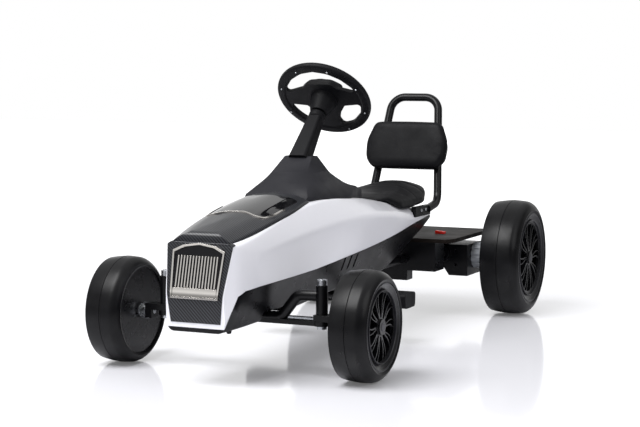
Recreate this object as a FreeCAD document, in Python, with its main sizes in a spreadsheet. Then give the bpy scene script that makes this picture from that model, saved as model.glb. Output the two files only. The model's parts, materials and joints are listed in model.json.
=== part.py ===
import FreeCAD, Part
import math
import os
import re
import Sketcher

# Ride-on go-kart for one child.  X to the kart's left, Y to its back, Z up, millimetres.
# The origin lies on the ground below the middle of the kart's length and width.

V = FreeCAD.Vector
os.makedirs("parts", exist_ok=True)
doc = FreeCAD.newDocument("go_kart")
sheet = doc.addObject("Spreadsheet::Sheet", "sizes")

SIZES = [
    # name, value, what it is
    ("front_y", -446, "front axle line"),
    ("rear_y", 507, "rear axle line"),
    ("ftyre_r", 106, "front tyre radius"),
    ("ftyre_w", 78, "front tyre width"),
    ("fwheel_x", 257.7, "front wheel centre to the middle plane"),
    ("fbead_r", 85, "front rim edge radius"),
    ("fspoke_r", 69, "front spoke field radius"),
    ("rtyre_r", 136.4, "rear tyre radius"),
    ("rtyre_w", 96.6, "rear tyre width"),
    ("rwheel_x", 247.5, "rear wheel centre to the middle plane"),
    ("rbead_r", 108, "rear rim edge radius"),
    ("rspoke_r", 84, "rear spoke field radius"),
    ("axle_r", 6, "axle and kingpin radius"),
    ("run_fit", 0.06, "radial clearance of a turning fit"),
    ("gap", 0.3, "clearance between parts that only lie side by side"),
    ("hub_r", 15, "wheel hub radius"),
    ("axle_reach", 290, "rear axle end to the middle plane"),
    ("axle_reach_front", 292, "front stub axle end to the middle plane"),
    ("skin", 3, "thickness of the moulded body"),
    ("king_x", 168, "kingpin to the middle plane"),
    ("sleeve_low", 122, "kingpin sleeve, lower end"),
    ("sleeve_top", 177, "kingpin sleeve, upper end"),
    ("sleeve_r", 11.5, "kingpin sleeve radius"),
    ("strap_low", 100, "lower axle strap, underside"),
    ("strap_high", 109, "lower axle strap, top"),
    ("strap_half", 9, "lower axle strap, half its depth"),
    ("arm_r", 10.5, "axle arm tube radius"),
    ("steer_arm", 49, "steering arm, kingpin to tie rod pin"),
    ("rod_low", 100.5, "tie rod underside"),
    ("rod_high", 107, "tie rod top"),
    ("tie_pin_r", 4, "tie rod pin radius"),
    ("fork_pin_r", 3, "radius of the shaft's bent end"),
    ("bay_front", -486, "front axle bay, front end"),
    ("bay_back", -366, "front axle bay, back end"),
    ("bay_top", 124, "front axle bay, height"),
    ("wheel_y", -59.6, "steering wheel centre"),
    ("wheel_z", 522, "steering wheel centre height"),
    ("column_lean", 44.6, "angle of the steering column from upright"),
    ("grip_r", 103, "steering wheel radius"),
    ("grip_w", 20, "steering wheel grip, width in its plane"),
    ("grip_t", 14, "steering wheel grip, thickness"),
    ("shaft_r", 6, "steering shaft radius"),
    ("shaft_len", 546, "steering wheel centre to the bend of the shaft"),
    ("rail_x", 36, "frame rail to the middle plane"),
    ("rail_z", 140, "frame rail height"),
    ("rail_r", 10, "frame rail radius"),
    ("back_x", 85, "backrest tube to the middle plane, lower bend"),
    ("back_top_x", 58.5, "backrest tube to the middle plane, top bend"),
    ("back_r", 9.5, "backrest tube radius"),
    ("back_low_y", 418, "backrest tube, lower bend"),
    ("back_low_z", 268, "backrest tube, lower bend height"),
    ("back_top_y", 490, "backrest tube, top bend"),
    ("back_top_z", 516, "backrest tube, top bend height"),
    ("pad_z", 395, "backrest pad, middle height"),
    ("notch_x", 71, "recess for the backrest foot, inner face to the middle plane"),
    ("notch_y", 257, "recess for the backrest foot, front end"),
    ("notch_z", 245, "recess for the backrest foot, floor"),
    ("foot_in", 79, "flat foot of the backrest tube, inner face"),
    ("foot_out", 89.5, "flat foot of the backrest tube, outer face"),
    ("box_front", 330, "rear box, front face"),
    ("box_low", 112, "rear box, underside"),
    ("box_high", 182, "rear box, top under the cover"),
    ("cover_high", 191, "rear box cover, top"),
]

# Sections of the body at even steps along its length: the underside corner, the lower edge
# of the side, the shoulder and the edge of the deck, each as half width and height.
BODY = [
    # name, y, floor_x, floor_z, low_x, low_z, crease_x, crease_z, deck_x, deck_z
    ("nose", -655, 55, 104, 72, 172, 72, 226, 60, 263),
    ("hood", -480, 58, 105, 87, 183, 91, 252, 77.5, 291),
    ("dash", -305, 58, 113, 96, 190, 104, 270, 78, 319),
    ("waist", -130, 57, 122, 99.5, 201, 107, 275, 76, 318),
    ("tank", 45, 54, 127, 99.5, 213, 104, 270, 70, 300),
    ("hip", 220, 49, 134, 87, 220, 91, 256, 71, 273),
    ("tail", 395, 44, 142, 72, 205, 77, 241, 60, 258),
]
BODY_PARTS = {"floor": 14, "low": 40, "crease": 24, "deck": 12}

# Sections of the hood's crown: its edge as half width and height, and its ridge.
HOOD = [
    # name, y, edge_x, edge_z, ridge_z
    ("lip", -614, 60, 267, 287),
    ("front", -535.5, 72, 283, 301),
    ("mid", -457, 78, 298, 315),
    ("wide", -378.5, 80, 311, 327),
    ("back", -300, 74, 322, 338),
]

WHEELS = [
    # name, side of the kart, set, line of its axle, turn of the wheel body
    ("front_left", 1, "f", "front_y", 0),
    ("front_right", -1, "f", "front_y", 180),
    ("rear_left", 1, "r", "rear_y", 0),
    ("rear_right", -1, "r", "rear_y", 180),
]

for section in BODY:
    for column, value in zip(("y", "floor_x", "floor_z", "low_x", "low_z",
                              "crease_x", "crease_z", "deck_x", "deck_z"), section[1:]):
        SIZES.append((section[0] + "_" + column, value, "body section " + section[0]))
for section in HOOD:
    for column, value in zip(("y", "edge_x", "edge_z", "ridge_z"), section[1:]):
        SIZES.append(("hood" + section[0] + "_" + column, value, "hood section " + section[0]))

for row, (name, value, note) in enumerate(SIZES, 1):
    sheet.set("A%d" % row, name)
    sheet.set("B%d" % row, str(value))
    sheet.setAlias("B%d" % row, name)
    sheet.set("C%d" % row, note)
doc.recompute()
NAMES = {name for name, value, note in SIZES}


def size(name):
    """A size from the sheet as a number."""
    return float(sheet.get(name))


def formula(text):
    """An expression in size names, with each name pointed at the sheet."""
    return re.sub(r"[a-z]\w*", lambda m: "sizes." + m[0] if m[0] in NAMES else m[0], str(text))


def number(text):
    """The value that an expression in size names has now."""
    holder = re.sub(r"[a-z]\w*", lambda m: repr(size(m[0])) if m[0] in NAMES else m[0], str(text))
    total = FreeCAD.Units.Quantity("1 * (" + holder + ")")
    return total.Value


def bind(item, **sizes):
    """Bind properties of an object to expressions in size names."""
    for prop, text in sizes.items():
        item.setExpression(prop, formula(text))
    return item


def place(item, x=0, y=0, z=0, axis=None, angle=None):
    """Bind an object's place, and its turn about an axis, to expressions."""
    if axis:
        item.Placement = FreeCAD.Placement(V(0, 0, 0), FreeCAD.Rotation(V(*axis), 1.0))
        item.setExpression("Placement.Rotation.Angle", formula(angle))
    for prop, text in (("x", x), ("y", y), ("z", z)):
        item.setExpression("Placement.Base." + prop, formula(text))
    return item


def fix(sketch, geometry, end, point, spot):
    """Hold an end of a sketch line or a sketch point at a pair of expressions."""
    for kind, text, value in (("DistanceX", point[0], spot.x), ("DistanceY", point[1], spot.y)):
        index = sketch.addConstraint(Sketcher.Constraint(kind, -1, 1, geometry, end, value))
        sketch.setExpression("Constraints[%d]" % index, formula(text))


def round_corner(sketch, point, corner, enter, leave, before, after):
    """Put an arc at a corner, tangent to both lines; a construction point holds the corner."""
    radius = number(point[2])
    centre = corner + ((enter + leave) / 2 - corner).normalize() * math.hypot(radius, (enter - corner).Length)
    turns_left = (corner - enter).cross(leave - corner).z > 0
    start, end = (enter, leave) if turns_left else (leave, enter)
    angles = [math.atan2(spot.y - centre.y, spot.x - centre.x) for spot in (start, end)]
    arc = sketch.addGeometry(Part.ArcOfCircle(Part.Circle(centre, V(0, 0, 1), radius), *angles), False)
    sketch.addConstraint(Sketcher.Constraint("Tangent", before, 2, arc, 1 if turns_left else 2))
    sketch.addConstraint(Sketcher.Constraint("Tangent", arc, 2 if turns_left else 1, after, 1))
    index = sketch.addConstraint(Sketcher.Constraint("Radius", arc, radius))
    sketch.setExpression("Constraints[%d]" % index, formula(point[2]))
    holder = sketch.addGeometry(Part.Point(corner), True)
    sketch.addConstraint(Sketcher.Constraint("PointOnObject", holder, 1, before))
    sketch.addConstraint(Sketcher.Constraint("PointOnObject", holder, 1, after))
    fix(sketch, holder, 1, point, corner)


def draw(sketch, points):
    """Add a closed outline; a point is a pair of expressions and, for a round corner, a radius."""
    first = sketch.GeometryCount
    corners = [V(number(point[0]), number(point[1]), 0) for point in points]
    count = len(points)
    enters, leaves = [], []
    for i, point in enumerate(points):
        back = (corners[i - 1] - corners[i]).normalize()
        ahead = (corners[(i + 1) % count] - corners[i]).normalize()
        reach = number(point[2]) / math.tan(back.getAngle(ahead) / 2) if len(point) > 2 else 0
        enters.append(corners[i] + back * reach)
        leaves.append(corners[i] + ahead * reach)
    for i in range(count):
        sketch.addGeometry(Part.LineSegment(leaves[i], enters[(i + 1) % count]), False)
    for i, point in enumerate(points):
        before, after = first + (i - 1) % count, first + i
        if len(point) > 2:
            round_corner(sketch, point, corners[i], enters[i], leaves[i], before, after)
        else:
            sketch.addConstraint(Sketcher.Constraint("Coincident", before, 2, after, 1))
            fix(sketch, after, 1, point, corners[i])
    return sketch


def draw_circle(sketch, x, y, radius):
    """Add a circle to a sketch, its centre and radius given as expressions."""
    centre = V(number(x), number(y), 0)
    circle = sketch.addGeometry(Part.Circle(centre, V(0, 0, 1), number(radius)), False)
    for kind, text, value in (("DistanceX", x, centre.x), ("DistanceY", y, centre.y)):
        index = sketch.addConstraint(Sketcher.Constraint(kind, -1, 1, circle, 3, value))
        sketch.setExpression("Constraints[%d]" % index, formula(text))
    index = sketch.addConstraint(Sketcher.Constraint("Radius", circle, number(radius)))
    sketch.setExpression("Constraints[%d]" % index, formula(radius))
    return sketch


PLANES = {
    "front": FreeCAD.Rotation(V(1, 0, 0), 90),
    "side": FreeCAD.Rotation(V(0, 1, 0), V(0, 0, 1), V(1, 0, 0), "ZXY"),
    "top": FreeCAD.Rotation(),
}


def loose_sketch(name, plane, offset=0):
    """A sketch in a front, side or top plane, moved along that plane's normal axis."""
    sketch = doc.addObject("Sketcher::SketchObject", name)
    sketch.Placement = FreeCAD.Placement(V(0, 0, 0), PLANES[plane])
    along = {"front": "y", "side": "x", "top": "z"}[plane]
    sketch.setExpression("Placement.Base." + along, formula(offset))
    return sketch


def prism(name, plane, points, low, high, holes=()):
    """An outline in a front, side or top plane, drawn out between two positions."""
    sketch = loose_sketch(name + "_outline", plane, low)
    draw(sketch, points)
    for hole in holes:
        draw(sketch, hole)
    solid = doc.addObject("Part::Extrusion", name)
    solid.Base = sketch
    solid.DirMode = "Custom"
    solid.Dir = {"front": V(0, 1, 0), "side": V(1, 0, 0), "top": V(0, 0, 1)}[plane]
    solid.Solid = True
    return bind(solid, LengthFwd="(%s) - (%s)" % (high, low))


def block(name, x, y, z):
    """A box between two positions along each axis."""
    item = doc.addObject("Part::Box", name)
    bind(item, Length="(%s) - (%s)" % (x[1], x[0]), Width="(%s) - (%s)" % (y[1], y[0]),
         Height="(%s) - (%s)" % (z[1], z[0]))
    return place(item, x[0], y[0], z[0])


TURNS = {"x": ((0, 1, 0), 90), "y": ((1, 0, 0), -90), "z": ((0, 0, 1), 0)}


def rod(name, radius, along, span, **at):
    """A cylinder along an axis between two positions."""
    item = doc.addObject("Part::Cylinder", name)
    bind(item, Radius=radius, Height="(%s) - (%s)" % (span[1], span[0]))
    axis, angle = TURNS[along]
    at[along] = span[0]
    return place(item, at.get("x", 0), at.get("y", 0), at.get("z", 0), axis, angle)


def join(name, *items):
    """One solid from several that overlap."""
    whole = doc.addObject("Part::MultiFuse", name)
    whole.Shapes = list(items)
    whole.Refine = True
    return whole


def group(name, *items):
    """Several solids that stay apart but make one piece."""
    whole = doc.addObject("Part::Compound", name)
    whole.Links = list(items)
    return whole


def cut(name, base, *tools):
    """The base with the tools taken away."""
    tool = tools[0] if len(tools) == 1 else join(name + "_tools", *tools)
    whole = doc.addObject("Part::Cut", name)
    whole.Base = base
    whole.Tool = tool
    return whole


def overlap(name, *items):
    """What several solids have in common."""
    whole = doc.addObject("Part::MultiCommon", name)
    whole.Shapes = list(items)
    return whole


def mirrored(points):
    """The outline that a half outline and its mirror image make."""
    return points + [("-(%s)" % point[0],) + tuple(point[1:]) for point in reversed(points)]


def loft(name, sections):
    """A smooth skin over closed outlines at even steps along the kart."""
    rings = []
    for number_in_row, (y, points) in enumerate(sections):
        ring = loose_sketch("%s_section_%d" % (name, number_in_row), "front", y)
        rings.append(draw(ring, points))
    skin = doc.addObject("Part::Loft", name)
    skin.Sections = rings
    skin.Solid = True
    skin.MaxDegree = 3
    return skin


def bent_path(points, bend):
    """A wire through corner points with every corner rounded to one radius."""
    spots = [V(*[number(c) for c in point]) for point in points]
    edges = []
    start = spots[0]
    for before, corner, after in zip(spots, spots[1:], spots[2:]):
        back = (before - corner).normalize()
        ahead = (after - corner).normalize()
        half = back.getAngle(ahead) / 2
        middle = (back + ahead).normalize()
        enter = corner + back * (number(bend) / math.tan(half))
        leave = corner + ahead * (number(bend) / math.tan(half))
        apex = corner + middle * (number(bend) / math.sin(half) - number(bend))
        edges.append(Part.LineSegment(start, enter).toShape())
        edges.append(Part.Arc(enter, apex, leave).toShape())
        start = leave
    edges.append(Part.LineSegment(start, spots[-1]).toShape())
    return Part.Wire(edges)


def bent_rod(name, points, bend, radius):
    """A round bar along a bent path."""
    path = bent_path(points, bend)
    first = path.OrderedEdges[0]
    ring = Part.Circle(first.valueAt(first.FirstParameter),
                       first.tangentAt(first.FirstParameter), number(radius)).toShape()
    item = doc.addObject("Part::Feature", name)
    item.Shape = path.makePipeShell([Part.Wire([ring])], True, False)
    return item


def body(name, x=0, y=0, z=0, axis=None, angle=None):
    """An empty body at a place, with a turn if an axis is given."""
    return place(doc.addObject("PartDesign::Body", name), x, y, z, axis, angle)


def body_sketch(owner, name, plane, offset=0):
    """A sketch on an origin plane of a body, moved along its normal."""
    sketch = owner.newObject("Sketcher::SketchObject", name)
    role = {"front": "XZ_Plane", "side": "YZ_Plane", "top": "XY_Plane"}[plane]
    for part_of_origin in owner.Origin.OriginFeatures:
        if part_of_origin.Role == role:
            sketch.AttachmentSupport = [(part_of_origin, "")]
    sketch.MapMode = "FlatFace"
    sketch.setExpression("AttachmentOffset.Base.z", formula(offset))
    return sketch


def feature(owner, kind, name, sketch, **sizes):
    """A pad, pocket, revolution or groove of a body."""
    item = owner.newObject("PartDesign::" + kind, name)
    item.Profile = sketch
    sketch.Visibility = False
    return bind(item, **sizes)


def spin(owner, kind, name, sketch, axis="H_Axis"):
    """A full revolution or groove about an axis of its sketch."""
    item = feature(owner, kind, name, sketch)
    item.ReferenceAxis = (sketch, [axis])
    item.Angle = 360
    return item


def polar(owner, name, original, sketch, axis, count):
    """Copies of a feature round an axis of a sketch."""
    item = owner.newObject("PartDesign::PolarPattern", name)
    item.Originals = [original]
    item.Axis = (sketch, [axis])
    item.Angle = 360
    item.Occurrences = count
    owner.Tip = item
    return item


def round_edges(owner, name, radius, wanted):
    """Fillet the edges of a body's tip that a test picks."""
    tip = owner.Tip
    doc.recompute()
    edges = ["Edge%d" % (i + 1) for i, edge in enumerate(tip.Shape.Edges) if wanted(edge)]
    item = owner.newObject("PartDesign::Fillet", name)
    item.Base = (tip, edges)
    return bind(item, Radius=radius)


nodes = []


def node(item, label):
    """Name a finished piece and keep it for export."""
    item.Label = label
    nodes.append(item)
    return item


# Body: one hollow loft, parted into the white shell above and the black tub below.

def hull_half(name, wall):
    """Half outline of the body at a section, moved inwards by a wall."""
    lifts = {"floor": wall, "low": 0, "crease": 0, "deck": "-%s" % wall}
    return [("%s_%s_x - %s" % (name, part, wall), "%s_%s_z + (%s)" % (name, part, lifts[part]), bend)
            for part, bend in BODY_PARTS.items()]


def hull(name, wall):
    """The loft through every body section, moved inwards by a wall."""
    return loft(name, [(row[0] + "_y", mirrored(hull_half(row[0], wall))) for row in BODY])


def nose_curve(back):
    """Side view of the nose from its foot to the front of the hood, moved back."""
    spots = [(-633, 60), (-635, 118, 90), (-639, 172, 60), (-617, 259, 200), (-610, 300)]
    return [("%s + (%s)" % (spot[0], back),) + tuple(spot[1:]) for spot in spots]


def in_front_of_nose(name, back):
    """Everything ahead of the nose curve."""
    points = [("-760", "60")] + nose_curve(back) + [("-760", "300")]
    return prism(name, "side", points, -200, 200)


def beside_nose(name, inwards):
    """What the rounded plan of the nose leaves away on both sides."""
    plan = [("125", -300), ("95", -470), ("74", -604, 90), ("57", -645)]
    plan = [("%s - (%s)" % (point[0], inwards),) + tuple(point[1:]) for point in plan]
    return prism(name, "top", mirrored(plan) + [("-200", -300), ("-200", -700), ("200", -700), ("200", -300)],
                 60, 320)


def below_tail(name, up):
    """Everything below the slanted back of the tub."""
    line = [("100", "109.6"), ("388", "232"), ("460", "262.6")]
    points = [(y, "%s + (%s)" % (z, up)) for y, z in line] + [("460", "20"), ("100", "20")]
    return prism(name, "side", points, -200, 200)


PART_LINE = [(-760, 112), (-633, 112), (-622, 142), (-607, 170), (-585, 178), (-537, 181),
             (-309, 189), (-60, 205), (90, 217), (200, 226), (460, 245)]



def foot_notch(name, side, wall):
    """The recess in the shell for one foot of the backrest, widened by a wall."""
    near, far = sorted((("notch_x - %s" % wall), "150"), key=number)
    reach = (near, far) if side > 0 else ("-(%s)" % far, "-(%s)" % near)
    return block(name, reach, ("notch_y - %s" % wall, 480), ("notch_z - %s" % wall, 330))


outer = cut("hull_outer", hull("hull_outer_loft", 0), in_front_of_nose("nose_trim", 0),
            beside_nose("nose_side_trim", 0), below_tail("tail_trim", 0), foot_notch("notch_left", 1, 0), foot_notch("notch_right", -1, 0))
inner = cut("hull_inner", hull("hull_inner_loft", "skin"), in_front_of_nose("nose_inner_trim", "skin + 1"),
            beside_nose("nose_side_inner_trim", "skin"), below_tail("tail_inner_trim", "skin + 1"),
            foot_notch("notch_inner_left", 1, "skin"), foot_notch("notch_inner_right", -1, "skin"),
            block("tail_inner_end", (-200, 200), ("tail_y - skin", 460), (0, 400)))
hollow = cut("hull_hollow", outer, inner)
above = prism("above_part_line", "side",
              [(str(y), str(z)) for y, z in PART_LINE] + [("460", "400"), ("-760", "400")], -200, 200)
below = prism("below_part_line", "side",
              [(str(y), "%s - gap" % z) for y, z in PART_LINE] + [("460", "20"), ("-760", "20")],
              -200, 200)
column_way = doc.addObject("Part::Cylinder", "column_way")
bind(column_way, Radius="shaft_r + 2", Height=700)
place(column_way, 0, "wheel_y", "wheel_z", (1, 0, 0), "180 - column_lean")
node(cut("body_shell_solid", overlap("shell_blank", hollow, above), column_way), "body_shell")

louvres = []
for i in range(3):
    louvre = block("louvre_%d" % i, (-4, 4), (-4, 4), (-17, 17))
    bind(louvre, Length=300)
    louvres.append(place(louvre, -150, -160 + 34 * i, 166, (1, 0, 0), 24))
axle_bay = block("axle_bay", (-200, 200), ("bay_front", "bay_back"), (60, "bay_top"))
rails_way = [rod("rail_way_%d" % s, "rail_r + gap", "y", (-570, 460), x="%d * rail_x" % s, z="rail_z")
             for s in (-1, 1)]
node(cut("tub_solid", overlap("tub_blank", hollow, below), axle_bay, *(louvres + rails_way)), "tub")

# Hood: a crown with a ridge on the deck of the shell.

def hood_half(name, up):
    """Half outline of the hood at a section, from below the deck up to the ridge, raised."""
    edge, side, ridge = ("hood%s_%s" % (name, part) for part in ("edge_x", "edge_z", "ridge_z"))
    side, ridge = ("%s + (%s)" % (height, up) for height in (side, ridge))
    return [(edge, side + " - 20"), (edge, side, 8),
            (edge + " * 0.62", "%s + 0.72 * (%s - (%s))" % (side, ridge, side), 60), ("1", ridge)]


def crown(name, up):
    """The hood's skin, raised, with its front end rolled over to the nose."""
    skin = loft(name + "_loft", [("hood%s_y" % row[0], mirrored(hood_half(row[0], up))) for row in HOOD])
    roll = prism(name + "_roll", "side", [("hoodlip_y + 1.5 - (%s)" % up, "240"),
                                          ("hoodlip_y + 1.5 - (%s)" % up, "284 + (%s)" % up, 15),
                                          ("hoodfront_y", "hoodfront_ridge_z + (%s)" % up, 80),
                                          ("hoodback_y", "hoodback_ridge_z + (%s)" % up), ("hoodback_y", "240")],
                 -100, 100)
    return overlap(name, skin, roll)


hood_top = crown("hood_crown", 0)
hood_trim = doc.addObject("Part::Cut", "hood_panel_solid")
hood_trim.Base = hood_top
hood_trim.Tool = outer
node(hood_trim, "hood_panel")

# A smoked insert on the hood with a bright lip along its waved front edge.

WAVE = [("1", -468), ("20", -468, 40), ("44", -482, 16), ("60", -478, 12), ("66", -440, 12)]
LIP_WAVE = [("1", -472), ("19", -472, 40), ("43", -486, 20), ("63", -482, 15), ("69.5", -440, 16), ("69.5", -400)]
insert_edge = [("%s - 0.8" % point[0] if float(point[0]) > 50 else point[0], "%s + 0.8" % point[1]) + point[2:]
               for point in WAVE]
insert_plan = prism("insert_plan", "top", mirrored(insert_edge + [("65.2", -330, 8), ("1", -330)]), 240, 360)
lip_plan = prism("lip_plan", "top", LIP_WAVE[::-1] + [("-" + point[0],) + point[1:] for point in LIP_WAVE]
                 + [("-66.3", -400)] + [("-" + point[0], "%s - 0.3" % point[1]) + point[2:] for point in WAVE[::-1]]
                 + [(point[0], "%s - 0.3" % point[1]) + point[2:] for point in WAVE] + [("66.3", -400)], 240, 360)
node(cut("hood_insert_solid", overlap("insert_blank", crown("insert_crown", 1.2), insert_plan), hood_top),
     "hood_insert")
node(cut("hood_trim_solid", overlap("lip_blank", crown("lip_crown", 2.4), lip_plan), hood_top), "hood_trim")

# Nose: a carbon panel round a grille, on the front wall of the shell.

def nose_band(name, back, front):
    """A sheet along the nose curve between two distances ahead of it."""
    points = nose_curve("-(%s)" % back) + nose_curve("-(%s)" % front)[::-1]
    return prism(name, "side", points, -200, 200)


GRILLE = [(45.5, 169), (50, 249), (30, 258.5), (1, 263)]


def grille_outline(step):
    """The outline of the grille, moved inwards by a step."""
    return mirrored([("%s - (%s)" % (x, step) if x > 1 else str(x),
                      "%s %s (%s)" % (z, "+" if z < 200 else "-", step)) for x, z in GRILLE])


panel_outline = mirrored([("51", "121"), ("54", "190"), ("58", "232"), ("53", "262")])
node(overlap("nose_panel_solid", nose_band("nose_sheet", 0, 2.5),
             prism("nose_panel_face", "front", panel_outline, -700, -560, [grille_outline("gap - 4")])),
     "nose_panel")
node(overlap("grille_frame_solid", nose_band("grille_frame_sheet", 0.1, 4.4),
             prism("grille_frame_face", "front", grille_outline(-3.4), -700, -560, [grille_outline(0)])),
     "grille_frame")
node(overlap("grille_plate_solid", nose_band("grille_plate_sheet", 0.1, 4),
             block("grille_plate_face", (-45, 45), (-700, -560), (169.5, 185))), "grille_plate")
header = overlap("grille_header_solid", nose_band("grille_header_sheet", 0.1, 3), 
                 prism("grille_header_face", "front", grille_outline(0.4), -700, -560),
                 block("grille_header_rows", (-100, 100), (-700, -560), (243.5, 300)))
node(header, "grille_header")
SLATS = 14
slats = []
for i in range(SLATS):
    middle = "%s * 86 / %d" % (i - (SLATS - 1) / 2, SLATS)
    slat = block("slat_bar_%d" % i, (middle + " - 1.3", middle + " + 1.3"), (-700, -560), (186, 243))
    slats.append(overlap("slat_%d" % i, nose_band("slat_sheet_%d" % i, 0.1, 3.6), slat))
node(group("grille_slats_solid", *slats), "grille_slats")

# Boot over the foot of the steering column: its side, front and plan outlines in common.

boot_side = prism("boot_side", "side", [("hoodback_y + gap", "290"), ("hoodback_y + gap", "326"),
                                        ("-190", "405", 8), ("-164", "405", 6), ("-126", "370", 60),
                                        ("-80", "343", 90), ("40", "322", 60), ("80", "304", 20),
                                        ("86", "290")], -120, 120)
boot_face = prism("boot_face", "front", mirrored([("79", "290"), ("77", "322", 20), ("43", "364", 60),
                                                  ("29", "410")]), -320, 130)
boot_plan = prism("boot_plan", "top", mirrored([("68", "-306"), ("79", "-190", 60), ("76", "-90", 120),
                                                ("46", "40", 80), ("24", "84", 24), ("8", "94")]), 280, 420)
node(cut("boot_solid", overlap("boot_blank", boot_side, boot_face, boot_plan), outer, column_way), "boot")


# Steering wheel, its shaft with a bent end, and the fixed cover of the column.

def on_axis(name):
    """A body whose own Z is the steering axis, from the wheel's centre towards the driver."""
    return body(name, 0, "wheel_y", "wheel_z", (-1, 0, 0), "column_lean")


wheel = on_axis("steering_wheel_body")
grip = body_sketch(wheel, "grip_section", "front")
draw(grip, [("grip_r - grip_w", "-grip_t / 2"), ("grip_r", "-grip_t / 2"), ("grip_r", "grip_t / 2"),
            ("grip_r - grip_w", "grip_t / 2")])
spin(wheel, "Revolution", "grip", grip, "V_Axis")
round_edges(wheel, "grip_round", "grip_t * 0.42", lambda edge: edge.Curve.TypeId == "Part::GeomCircle"
            and edge.Curve.Radius > size("grip_r") - size("grip_w") - 0.01 and abs(
                abs(edge.Curve.Center.z) - size("grip_t") / 2) < 0.01)
web = body_sketch(wheel, "wheel_web_outline", "top", -5)
draw_circle(web, 0, 0, "grip_r - grip_w / 2")
feature(wheel, "Pad", "wheel_web", web, Length=8)
window = body_sketch(wheel, "wheel_windows", "top", 6)
draw(window, mirrored([("28", "-46", 14), ("38", "-34", 14), ("80", "-20", 6), ("75", "-36", 20), ("56", "-60", 30),
                       ("30", "-77", 40), ("1", "-83")]))
draw(window, [("43", "18", 5), ("82", "13", 7), ("73", "42", 30), ("48", "69", 30), ("24", "76", 8),
              ("19", "60", 12), ("26", "42", 10)])
draw(window, [("-43", "18", 5), ("-82", "13", 7), ("-73", "42", 30), ("-48", "69", 30), ("-24", "76", 8),
              ("-19", "60", 12), ("-26", "42", 10)])
feature(wheel, "Pocket", "wheel_window_cut", window, Length=14)
boss = body_sketch(wheel, "wheel_boss_section", "front")
draw(boss, [("0", "-4"), ("30", "-4"), ("28", "-16", 10), ("19", "-41", 4), ("18", "-44"), ("0", "-44")])
spin(wheel, "Revolution", "wheel_boss", boss, "V_Axis")
bore = body_sketch(wheel, "wheel_bore_outline", "top", -45)
draw_circle(bore, 0, 0, "shaft_r + 0.05")
seat_cut = feature(wheel, "Pocket", "wheel_bore", bore, Length=47)
seat_cut.Reversed = True
node(wheel, "steering_wheel")

horn = on_axis("horn_pad_body")
horn_face = body_sketch(horn, "horn_pad_outline", "top", 3.2)
draw(horn_face, mirrored([("16", "56", 8), ("20", "26", 10), ("42", "4", 8), ("46", "-26", 8), ("26", "-42", 16),
                          ("1", "-45")]))
feature(horn, "Pad", "horn_pad_block", horn_face, Length=14)
round_edges(horn, "horn_pad_round", 5, lambda edge: abs(edge.CenterOfMass.z - 17.2) < 0.01)
node(horn, "horn_pad")

shaft = on_axis("shaft_body")
shaft_ring = body_sketch(shaft, "shaft_ring", "top", "-shaft_len")
draw_circle(shaft_ring, 0, 0, "shaft_r")
feature(shaft, "Pad", "shaft_bar", shaft_ring, Length="shaft_len + 2")
pin_ring = body_sketch(shaft, "shaft_pin_ring", "front", -4)
draw_circle(pin_ring, 0, "-shaft_len + 3.2", "fork_pin_r")
pin = feature(shaft, "Pad", "shaft_pin", pin_ring, Length=58)
pin.Reversed = True
node(shaft, "steering_shaft")

cover = on_axis("column_cover_body")
low = body_sketch(cover, "cover_low", "top", -180)
draw(low, [("-20", "-19", 7), ("20", "-19", 7), ("20", "19", 7), ("-20", "19", 7)])
high = body_sketch(cover, "cover_high", "top", -62)
draw(high, [("-15", "-14", 6), ("15", "-14", 6), ("15", "14", 6), ("-15", "14", 6)])
column_loft = cover.newObject("PartDesign::AdditiveLoft", "cover_loft")
column_loft.Profile = low
column_loft.Sections = [high]
collar = body_sketch(cover, "collar_section", "front")
draw(collar, [("0", "-64"), ("14", "-64"), ("17.5", "-60", 2), ("17.5", "-48", 3), ("0", "-44.4")])
spin(cover, "Revolution", "collar", collar, "V_Axis")
way = body_sketch(cover, "cover_way_ring", "top", -20)
draw_circle(way, 0, 0, "shaft_r + run_fit")
feature(cover, "Pocket", "cover_way", way, Length=200)
column_cover = cut("column_cover_solid", cover, doc.getObject("boot_blank"))
node(column_cover, "column_cover")

# Seat pad on the deck and the backrest on its tube.

pad_side = prism("seat_side", "side", [("92", "266"), ("92", "296", 12), ("150", "303", 80), ("230", "306", 160),
                                       ("320", "322", 120), ("390", "319", 30), ("404", "268")], -120, 120)
pad_plan = prism("seat_plan", "top", mirrored([("30", "92", 14), ("62", "104", 30), ("92", "150", 60), ("94", "230", 200),
                                               ("91", "310", 60), ("70", "380", 40), ("30", "408", 14)]), 250, 340)
pad_face = prism("seat_face", "front", mirrored([("94", "266"), ("92", "284", 14), ("66", "306", 40), ("1", "326")]),
                 90, 420)
over_feet = [block("over_foot_%d" % i, reach, ("notch_y - 1", 480), (230, "notch_z + 26"))
             for i, reach in enumerate((("notch_x - gap", 150), (-150, "-notch_x + gap")))]
node(cut("seat_pad_solid", overlap("seat_blank", pad_side, pad_plan, pad_face), outer, *over_feet), "seat_pad")

BACK_PATH = [("back_x", 346, 257.5), ("back_x", "back_low_y", "back_low_z"),
             ("back_top_x", "back_top_y", "back_top_z")]
BACK_SLOPE = "(back_top_y - back_low_y) / (back_top_z - back_low_z)"


def on_backrest(name):
    """A body whose own Z runs up the backrest tube, at the height of the pad."""
    return body(name, 0, "back_low_y + (pad_z - back_low_z) * " + BACK_SLOPE, "pad_z", (-1, 0, 0),
                "atan(%s)" % BACK_SLOPE)



back_points = BACK_PATH + [("-" + x, y, z) for x, y, z in BACK_PATH[::-1]]
back_feet = [block("back_foot_%d" % i, ("%d * foot_in" % a, "%d * foot_out" % a) if a > 0 else
                   ("-foot_out", "-foot_in"), (260, 358), ("notch_z", 268)) for i, a in enumerate((1, -1))]
node(join("backrest_tube_solid", bent_rod("back_loop", back_points, 36, "back_r"), *back_feet), "backrest_tube")

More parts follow.
